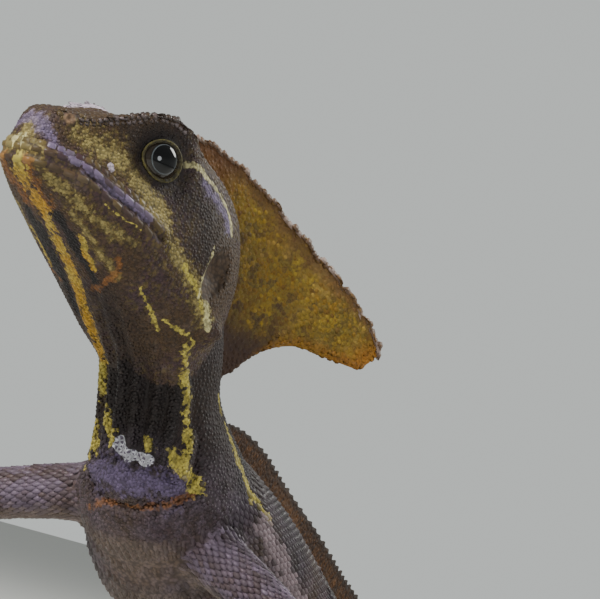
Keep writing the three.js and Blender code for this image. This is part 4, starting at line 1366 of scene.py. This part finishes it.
def closed_sheet(name, left_side, right_side):
    """One skin from two grids of points that share their rims, closed all round."""
    rows, columns = left_side.shape[:2]
    ring = np.concatenate([left_side, right_side[:, ::-1]], axis=1)
    count = ring.shape[1]
    faces = []
    for i in range(rows - 1):
        for j in range(count):
            after = (j + 1) % count
            faces.append((i * count + j, i * count + after, (i + 1) * count + after, (i + 1) * count + j))
    faces.append(tuple(range(count - 1, -1, -1)))
    faces.append(tuple((rows - 1) * count + j for j in range(count)))
    mesh = bpy.data.meshes.new(name)
    mesh.from_pydata([tuple(place) for place in ring.reshape(-1, 3) * MM], [], faces)
    shell = bmesh.new()
    shell.from_mesh(mesh)
    bmesh.ops.triangulate(shell, faces=[face for face in shell.faces if len(face.verts) > 4])
    bmesh.ops.recalc_face_normals(shell, faces=shell.faces)
    shell.to_mesh(mesh)
    shell.free()
    smooth(mesh)
    return mesh


def sheet_values(left_values):
    """One value for each point of a closed sheet, the same on both sides."""
    return np.concatenate([left_values, left_values[:, ::-1]], axis=1).ravel()


crest_rows, crest_columns = 200, 40
crest_way = np.linspace(0, 1, crest_rows)
crest_rise = np.linspace(0, 1, crest_columns)
crest_top = flowing([row[0] for row in CREST], crest_way)
crest_bottom = flowing([row[1] for row in CREST], crest_way)
ragged = 0.22 * np.sin(crest_way * 61) + 0.16 * np.sin(crest_way * 113 + 1) + 0.12 * np.sin(crest_way * 187)
jagged = (ragged * eased(0.1, 0.3, crest_way))[:, None]
crest_top = crest_top + unit(crest_top - crest_bottom) * jagged
middle_sheet = crest_bottom[:, None] + (crest_top - crest_bottom)[:, None] * crest_rise[None, :, None]
waves = 0.5 * np.sin(crest_way * 9 + 0.8)[:, None] * np.sin(crest_rise * 2.4)[None, :]
waves = waves * eased(0.35, 0.7, crest_way)[:, None]
half = 0.5 * (2.5 - 1.5 * crest_rise[None, :]) * (1 - 0.38 * crest_way)[:, None]
half = half * np.sqrt(1 - crest_rise**6 * 0.85)[None, :]
free_edge = eased(0.42, 0.55, crest_way)[:, None] * (1 - eased(0, 0.16, crest_rise))[None, :]
half = half * (1 - 0.8 * free_edge)
half = half + 0.07 * np.sin(crest_way * 90)[:, None] * np.sin(crest_rise * 30)[None, :]
half = half.clip(0.05, None)
to_side = np.zeros_like(middle_sheet)
to_side[..., 1] = 1
crest_mesh = closed_sheet(
    "head crest",
    from_head(middle_sheet + to_side * (waves + half)[..., None]),
    from_head(middle_sheet + to_side * (waves - half)[..., None]),
)
along_grid, rise_grid = np.meshgrid(crest_way, crest_rise, indexing="ij")
store(crest_mesh, "along", sheet_values(along_grid))
store(crest_mesh, "rise", sheet_values(rise_grid))
store(crest_mesh, "scaled", sheet_values(np.ones_like(rise_grid)))
store(crest_mesh, "size", np.full(len(crest_mesh.vertices), 1.25))
store_vectors(crest_mesh, "lie", np.tile(-forward - 0.5 * upward, (len(crest_mesh.vertices), 1)))


def crest_colors(tree, root=None):
    """Amber, mottled with brown and yellow, purplish at the lower front and orange at the tip."""
    place = pattern_place(tree, root)
    along, rise = attribute(tree, "along"), attribute(tree, "rise")
    broad = grain(tree, place, 110.0, 5.0, 0.65)
    mottle = grain(tree, place, 380.0, 5.0, 0.7)
    fleck = grain(tree, place, 1300.0, 3.0, 0.6)
    spread = (mottle - 0.5) * 0.9
    color = mottle.step(0.36, 0.66).colors(CREST_DARK, AMBER)
    color = ((broad + (fleck - 0.5) * 0.5).step(0.46, 0.62) * 0.85).colors(color, BRIGHT_AMBER)
    brown = ((mottle + (broad - 0.5) * 1.2 + (fleck - 0.5) * 0.5).step(0.48, 0.66)) * 0.75
    color = brown.colors(color, CREST_BROWN)
    blotch = grain(tree, place, 52.0, 3.0, 0.6)
    inner = (1 - along.step(0.55, 0.8)) * (1 - rise.step(0.6, 0.9))
    color = ((blotch + (mottle - 0.5) * 1.3).step(0.46, 0.66) * inner * 0.85).colors(color, CREST_BLOTCH)
    cloud = grain(tree, place, 210.0, 4.0, 0.7)
    pale_cells = (cloud + (fleck - 0.5) * 0.5).step(0.56, 0.66) * along.step(0.3, 0.6)
    color = (pale_cells * 0.6).colors(color, PALE_AMBER)
    band = blotch + (fleck - 0.5) * 1.2
    green = band.step(0.36, 0.5) * (1 - band.step(0.5, 0.62))
    color = (green * 0.45).colors(color, CREST_GREEN)
    top_front = (1 - (along + spread * 0.2).step(0.26, 0.42)) * (rise + spread * 0.3).step(0.4, 0.7)
    color = (top_front * 0.8).colors(color, CREST_RUST)
    edge = (rise + spread * 0.25).step(0.80, 0.98) * 0.7
    color = edge.colors(color, CREST_EDGE)
    tip = (along + spread * 0.12).step(0.86, 0.97) * 0.75
    color = tip.colors(color, CREST_TIP)
    lower = (1 - (rise + spread * 0.2).step(0.12, 0.3)) * along.step(0.4, 0.5)
    color = (lower * 0.6).colors(color, CREST_FOOT)
    lobe = (1 - (rise + spread * 0.25).step(0.22, 0.42)) * along.step(0.42, 0.5) * (1 - along.step(0.62, 0.7))
    color = (lobe * 0.92).colors(color, CREST_LOBE)
    front = (1 - (along + spread * 0.1).step(0.2, 0.34)) * (1 - rise.step(0.5, 0.8))
    color = (front * 0.8).colors(color, CREST_FRONT)
    return color, mottle, fleck


crest_paint, tree, surface = new_material("crest skin")
color, mottle, fleck = crest_colors(tree)
feed(tree, surface, "Base Color", (fleck.step(0.35, 0.7) * 0.5).colors(color, CREST_GAP))
feed(tree, surface, "Roughness", 0.42 + 0.25 * mottle)
bump = mottle.node("ShaderNodeBump", {"Height": mottle + fleck * 0.6, "Strength": 0.5, "Distance": 0.0003})
feed(tree, surface, "Normal", bump)
surface.inputs["Specular IOR Level"].default_value = 0.15
crest_scale_paint, tree, surface = new_material("crest scales")
color, mottle, fleck = crest_colors(tree, "root")
color = (attribute(tree, "tone") * 0.3).colors(color, CREST_SHADE)
feed(tree, surface, "Base Color", (attribute(tree, "rim").step(0.5, 1.0) * 0.4).colors(color, CREST_GAP))
feed(tree, surface, "Roughness", 0.42 + 0.2 * attribute(tree, "tone"))
surface.inputs["Specular IOR Level"].default_value = 0.15

crest_mesh.materials.append(crest_paint)
crest = added("crest", crest_mesh)
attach(crest, "root")
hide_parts("head_crest")
crest_line = from_head((crest_top + crest_bottom)[::20] / 2) - ground_point
crest_coat = grow_coat(
    "crest_scales", crest_mesh, scatter_flow, shield_form,
    spacing=0.80 * MM, height=0.55, seed=31, paint=crest_scale_paint, lines=[crest_line],
)

# Soft blunt scales along the crest's upper edge, from the crown to the tip
edge_way = np.linspace(0.10, 0.995, 62)
edge_places = flowing([row[0] for row in CREST], edge_way)
edge_ahead = flowing([row[0] for row in CREST], (edge_way + 0.01).clip(0, 1)) - edge_places + [-1e-4, 0, 0]
edge_rise = unit(edge_places - flowing([row[1] for row in CREST], edge_way))
edge_lift = np.interp(edge_way, crest_way, ragged) * eased(0.1, 0.3, edge_way) - 0.1
edge_places = edge_places + edge_rise * edge_lift[:, None]
edge_mesh = bpy.data.meshes.new("crest edge roots")
edge_mesh.vertices.add(len(edge_places))
set_coordinates(edge_mesh, from_head(edge_places))
store_vectors(edge_mesh, "out", edge_rise @ head_frame)
store_vectors(edge_mesh, "lie", edge_ahead @ head_frame)
store(edge_mesh, "size", 1.0 + 0.35 * np.sin(edge_way * 77) ** 2)
store(edge_mesh, "along", edge_way)
store(edge_mesh, "rise", np.ones(len(edge_way)))
edge_paint, tree, surface = new_material("crest edge scales")
tone = attribute(tree, "tone")
color = (tone.step(0.70, 0.98) * 0.8).colors(EDGE_DARK, EDGE_PALE)
feed(tree, surface, "Base Color", color)
feed(tree, surface, "Roughness", 0.4 + 0.2 * tone)
blunt_form = scale_form(
    "blunt scale", ring_outline(8, length=1.3, width=1.0), [(-0.2, 0, 0.5), (0.3, 0, 0.45)], sunk=-0.35
)
edge_coat = grow_coat(
    "crest_edge_scales", edge_mesh, rows_flow, blunt_form,
    spacing=1.15 * MM, height=0.75, seed=33, paint=edge_paint, lines=[crest_line],
)

# Back sail and tail fin
# Thin skin stretched over stiff rays that stand on the spine: one on the back and one on the tail. Each ray
# is a low rib that leans back and ends in a tooth of the dark edge.
# How high the back rises over each knot of the body line, and each fin's height by share of its length
BODY_ABOVE = [9.5, 9.5, 9.3, 9.6, 10.8, 12.6, 13, 12.8, 12.4, 12.2, 11.6, 10.8, 9.8, 8.8, 8.1]
BACK_SAIL = [(0, 0.5), (0.1, 5.4), (0.22, 8), (0.42, 9.8), (0.62, 10), (0.8, 7.6), (0.93, 4.2), (1, 1.2)]
TAIL_FIN = [(0, 1), (0.12, 6.5), (0.3, 9), (0.55, 7.6), (0.8, 4.2), (1, 0.8)]
# Between which knots of the body line the sail stands, and over which share of the tail's length its fin
SAIL_ENDS = (4.3, 12.6)
FIN_ENDS = (0.012, 0.36)
# How far the fins reach down into the body, and the share of each ray's spacing that rises to its tooth
SUNK = 2.4
TOOTH_RISE = 0.62
SAIL_DARK = (0.026, 0.012, 0.006)
SAIL_BROWN = (0.062, 0.027, 0.010)
SAIL_RUST = (0.10, 0.045, 0.015)
SAIL_RAY = (0.020, 0.011, 0.008)
SAIL_STREAK = (0.135, 0.060, 0.020)
SAIL_DARK_STREAK = (0.016, 0.009, 0.007)
SAIL_TOOTH = (0.014, 0.009, 0.007)


def fin(name, middle_of, root_of, heights, teeth, replaced, seed):
    """A toothed sheet on rays along a line, with its heights given by share of that line's length."""
    rows, columns = teeth * 6 + 1, 20
    way = np.linspace(0, 1, rows)
    rise = np.linspace(0, 1, columns)
    base = middle_of(way)
    tangent = unit(np.gradient(base, axis=0))
    left = unit(np.stack([tangent[:, 1], -tangent[:, 0], np.zeros(rows)], axis=1))
    up = np.cross(left, tangent)
    dense = np.linspace(0, 1, 400)
    profile = np.interp(dense, *np.array(heights, float).T)
    for _ in range(30):
        profile[1:-1] = (profile[:-2] + 2 * profile[1:-1] + profile[2:]) / 4
    tall = np.interp(way, dense, profile)
    phase = way * teeth
    saw = phase % 1
    tooth = np.where(saw < TOOTH_RISE, saw / TOOTH_RISE, (1 - saw) / (1 - TOOTH_RISE)) ** 1.4
    crest_jitter = 0.22 * np.sin(np.floor(phase) * 2.4) + 0.16 * np.sin(np.floor(phase) * 5.9 + 1)
    top = tall + (tooth - 0.35) * (0.62 + crest_jitter) * (0.35 + 0.65 * (tall / tall.max()))
    ray = bell(saw, TOOTH_RISE, 0.17) + bell(saw, TOOTH_RISE - 1, 0.17)
    height = -SUNK + (top[:, None] + SUNK) * rise[None, :]
    lean = 0.28 * height.clip(0, None)
    share_up = (height / top[:, None].clip(0.3, None)).clip(0, 1)
    half = 0.30 + 0.75 * (1 - share_up) ** 2 * 0.6 + 0.36 * ray[:, None] * (1 - 0.5 * share_up)
    half = half * np.sqrt(1 - 0.9 * share_up**8)
    root = base + up * root_of(way)[:, None]
    sheet_middle = root[:, None] + up[:, None] * height[..., None] + tangent[:, None] * lean[..., None]
    wobble = (0.28 * np.sin(way * 23 + seed) * share_up.T).T[..., None] * left[:, None]
    sheet_middle = sheet_middle + wobble + ground_point
    to_left = left[:, None] * half[..., None]
    mesh = closed_sheet(name, sheet_middle + to_left, sheet_middle - to_left)
    store(mesh, "rise", sheet_values(share_up))
    store(mesh, "ray", sheet_values(np.repeat(ray[:, None], columns, axis=1)))
    streak = way[:, None] * teeth * 0.9 - height * 0.02
    store(mesh, "across", sheet_values(streak))
    mesh.materials.append(sail_paint)
    piece = added(name, mesh)
    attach(piece, "root")
    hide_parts(*replaced)


def sail_colors(tree):
    """Rust brown, streaked along the rays and nearly black at the teeth."""
    place = pattern_place(tree)
    rise, ray = attribute(tree, "rise"), attribute(tree, "ray")
    broad = grain(tree, place, 100.0, 4.0, 0.6)
    mottle = grain(tree, place, 500.0, 4.0, 0.6)
    color = mottle.step(0.35, 0.68).colors(SAIL_DARK, SAIL_BROWN)
    color = (broad.step(0.5, 0.7) * 0.6).colors(color, SAIL_RUST)
    color = (ray.step(0.25, 0.9) * (0.35 + 0.4 * mottle)).colors(color, SAIL_RAY)
    flat = start(tree).node("ShaderNodeCombineXYZ", {0: attribute(tree, "across") * 3.0, 1: rise * 2.2})
    streaks = grain(tree, flat, 2.2, 4.0, 0.65)
    color = (streaks.step(0.50, 0.66) * 0.75).colors(color, SAIL_STREAK)
    color = ((1 - streaks.step(0.34, 0.48)) * 0.8).colors(color, SAIL_DARK_STREAK)
    color = ((rise + (mottle - 0.5) * 0.4).step(0.78, 0.98) * 0.85).colors(color, SAIL_TOOTH)
    return color, mottle, streaks


sail_paint, tree, surface = new_material("sail skin")
color, mottle, streaks = sail_colors(tree)
feed(tree, surface, "Base Color", color)
feed(tree, surface, "Roughness", 0.5 + 0.25 * mottle)
place = pattern_place(tree)
cells = place.node("ShaderNodeTexVoronoi", {0: place, 2: 1400.0}, feature="F1")
height = (1 - cells) * 0.7 + streaks
bump = mottle.node("ShaderNodeBump", {"Height": height, "Strength": 0.7, "Distance": 0.0004})
feed(tree, surface, "Normal", bump)
surface.inputs["Specular IOR Level"].default_value = 0.12
tail_knots = tail_line(30)
fin(
    "back_sail_skin",
    lambda way: flowing(BODY_LINE, between(SAIL_ENDS, way) / (len(BODY_LINE) - 1)),
    lambda way: flowing(np.array(BODY_ABOVE)[:, None], between(SAIL_ENDS, way) / (len(BODY_ABOVE) - 1))[:, 0],
    BACK_SAIL, teeth=60, replaced=["back_sail"], seed=41,
)
fin(
    "tail_fin_skin",
    lambda way: flowing(tail_knots, between(FIN_ENDS, way)),
    lambda way: tail_radius(between(FIN_ENDS, way)) * 1.02,
    TAIL_FIN, teeth=70, replaced=["tail_fin_1", "tail_fin_2"], seed=43,
)
# The forms that the scales were grown from are not part of the animal
for form in (grain_form, shield_form, keeled_form, blunt_form):
    bpy.data.objects.remove(form)

# Claws
# Twenty hooked claws of dark horn, one on each toe: thick and round where they leave the toe, flattened
# from side to side, and sharp at the tip, which rests on the floor.
HORN_ROOT = (0.085, 0.055, 0.036)
HORN_TIP = (0.014, 0.010, 0.009)
HORN_STREAK = (0.12, 0.085, 0.06)
CLAW_SIDES, CLAW_STEPS = 10, 12
claw_paint, tree, surface = new_material("claw horn")
streak = grain(tree, pattern_place(tree), 1500.0, 2.0)
color = attribute(tree, "tip").step(0.05, 0.45).colors(HORN_ROOT, HORN_TIP)
feed(tree, surface, "Base Color", (streak.step(0.45, 0.7) * 0.3).colors(color, HORN_STREAK))
feed(tree, surface, "Roughness", 0.22 + 0.15 * streak)
for kind, sign in STANCE:
    rings = []
    radius = LEGS[kind]["radius"]
    claw_length = 1.6 + radius * 1.7
    # Knots along a claw: the share of its length, the height of its middle, and its thickness by the toe's
    knots = [
        (-0.45, radius * 0.8, 0.60), (0.1, radius * 1.3, 0.56), (0.45, radius * 1.35, 0.44),
        (0.8, radius * 0.85, 0.24), (1.05, 0.28, 0.05),
    ]
    shares = np.linspace(0, 1, CLAW_STEPS)
    thick = flowing([[thickness * radius] for _, _, thickness in knots], shares)[:, 0].clip(0.04, None)
    turns = 2 * math.pi * np.arange(CLAW_SIDES) / CLAW_SIDES
    for aim, tip in toe_aims(kind, sign):
        path = [(*(tip + aim * claw_length * reach)[:2], height) for reach, height, _ in knots]
        path = flowing(path, shares)
        across = np.array([-aim[1], aim[0], 0])
        upright = np.cross(unit(np.gradient(path, axis=0)), across)
        upright *= np.where(upright[:, 2:] < 0, -1, 1)
        ring = (
            path[:, None]
            + across[None, None] * (0.75 * thick[:, None] * np.cos(turns))[..., None]
            + upright[:, None] * (thick[:, None] * np.sin(turns))[..., None]
        )
        ring[..., 2] = ring[..., 2].clip(0.06, None)
        rings.append(ring + ground_point)
    faces = []
    for number in range(len(rings)):
        first = number * CLAW_SIDES * CLAW_STEPS
        for i in range(CLAW_STEPS - 1):
            for j in range(CLAW_SIDES):
                a = first + i * CLAW_SIDES + j
                b = first + i * CLAW_SIDES + (j + 1) % CLAW_SIDES
                faces.append((a, b, b + CLAW_SIDES, a + CLAW_SIDES))
        faces.append(tuple(first + j for j in range(CLAW_SIDES - 1, -1, -1)))
        faces.append(tuple(first + (CLAW_STEPS - 1) * CLAW_SIDES + j for j in range(CLAW_SIDES)))
    side_name = "left" if sign > 0 else "right"
    mesh = bpy.data.meshes.new(f"{kind} claws {side_name}")
    mesh.from_pydata([tuple(vert) for vert in np.reshape(rings, (-1, 3)) * MM], [], faces)
    turned = bmesh.new()
    turned.from_mesh(mesh)
    bmesh.ops.recalc_face_normals(turned, faces=turned.faces)
    turned.to_mesh(mesh)
    turned.free()
    store(mesh, "tip", np.tile(np.repeat(shares, CLAW_SIDES), len(rings)))
    smooth(mesh)
    mesh.materials.append(claw_paint)
    claws = added(f"{kind}_claws_{side_name}", mesh)
    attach(claws, "root")

# Floor, light and camera
# A plain pale studio floor, lit by large soft lamps, seen as the photograph sees the animal.
floor_mesh = bpy.data.meshes.new("floor")
FLOOR_REACH = 4.0
floor_corners = [(x * FLOOR_REACH, y * FLOOR_REACH, 0) for x, y in ((-1, -1), (1, -1), (1, 1), (-1, 1))]
floor_mesh.from_pydata(floor_corners, [], [(0, 1, 2, 3)])
floor = added("floor", floor_mesh)
floor_paint, tree, surface = new_material("pale floor")
surface.inputs["Base Color"].default_value = (0.62, 0.62, 0.60, 1)
surface.inputs["Roughness"].default_value = 0.8
floor_mesh.materials.append(floor_paint)

world = bpy.data.worlds.new("studio")
bpy.context.scene.world = world
world.use_nodes = True
sky = world.node_tree
SKY_WHITE = (0.80, 0.84, 0.82, 1)
sky.nodes["Background"].inputs[0].default_value = SKY_WHITE
# Brightest a little above the horizon
height = start(sky).node("ShaderNodeSeparateXYZ", {0: start(sky).node("ShaderNodeTexCoord")}, output=2)
from_horizon = height.maths("ABSOLUTE", height - 0.06)
strength = 0.42 + 0.30 * (1 - from_horizon.step(0.08, 0.40))
sky.links.new(strength.socket, sky.nodes["Background"].inputs[1])


def soft_lamp(name, place, target, size, power, color):
    data = bpy.data.lights.new(name, "AREA")
    data.shape = "DISK"
    data.size = size
    data.energy = power
    data.color = color
    lamp = added(name, data)
    lamp.location = place
    lamp.rotation_euler = (Vector(target) - Vector(place)).to_track_quat("-Z", "Y").to_euler()


head_at = head_middle * MM
soft_lamp("key", (head_at[0] - 0.25, head_at[1] - 0.55, 0.75), head_at, size=0.25,
          power=14, color=(1, 0.98, 0.93))
soft_lamp("fill", (head_at[0] + 0.8, head_at[1] - 0.5, 0.30), head_at, size=0.30,
          power=2.5, color=(0.93, 0.97, 1))
soft_lamp("back", (head_at[0] + 0.4, head_at[1] + 0.7, 0.7), head_at, size=0.5,
          power=9, color=(1, 1, 0.95))

# The photograph's own view of the animal
VIEW_TURN = math.radians(27)
VIEW_TILT = math.radians(-4)
VIEW_ROLL = math.radians(15)
VIEW_DISTANCE = 600
aim = ground_point + np.array([15.1, 4.7, 83.9])
right = np.array([math.cos(VIEW_TURN), math.sin(VIEW_TURN), 0])
back = np.array(
    [
        math.sin(VIEW_TURN) * math.cos(VIEW_TILT),
        -math.cos(VIEW_TURN) * math.cos(VIEW_TILT),
        math.sin(VIEW_TILT),
    ]
)
over_head = np.cross(back, right)
frame_x = math.cos(VIEW_ROLL) * right + math.sin(VIEW_ROLL) * over_head
frame_y = -math.sin(VIEW_ROLL) * right + math.cos(VIEW_ROLL) * over_head
camera_data = bpy.data.cameras.new("camera")
camera_data.sensor_width = 36
camera_data.lens = 225
camera_data.clip_end = 20
camera = added("camera", camera_data)
camera_at = (aim + back * VIEW_DISTANCE) * MM
camera.matrix_world = Matrix(
    [[frame_x[row], frame_y[row], back[row], camera_at[row]] for row in range(3)] + [[0, 0, 0, 1]]
)
bpy.context.scene.camera = camera
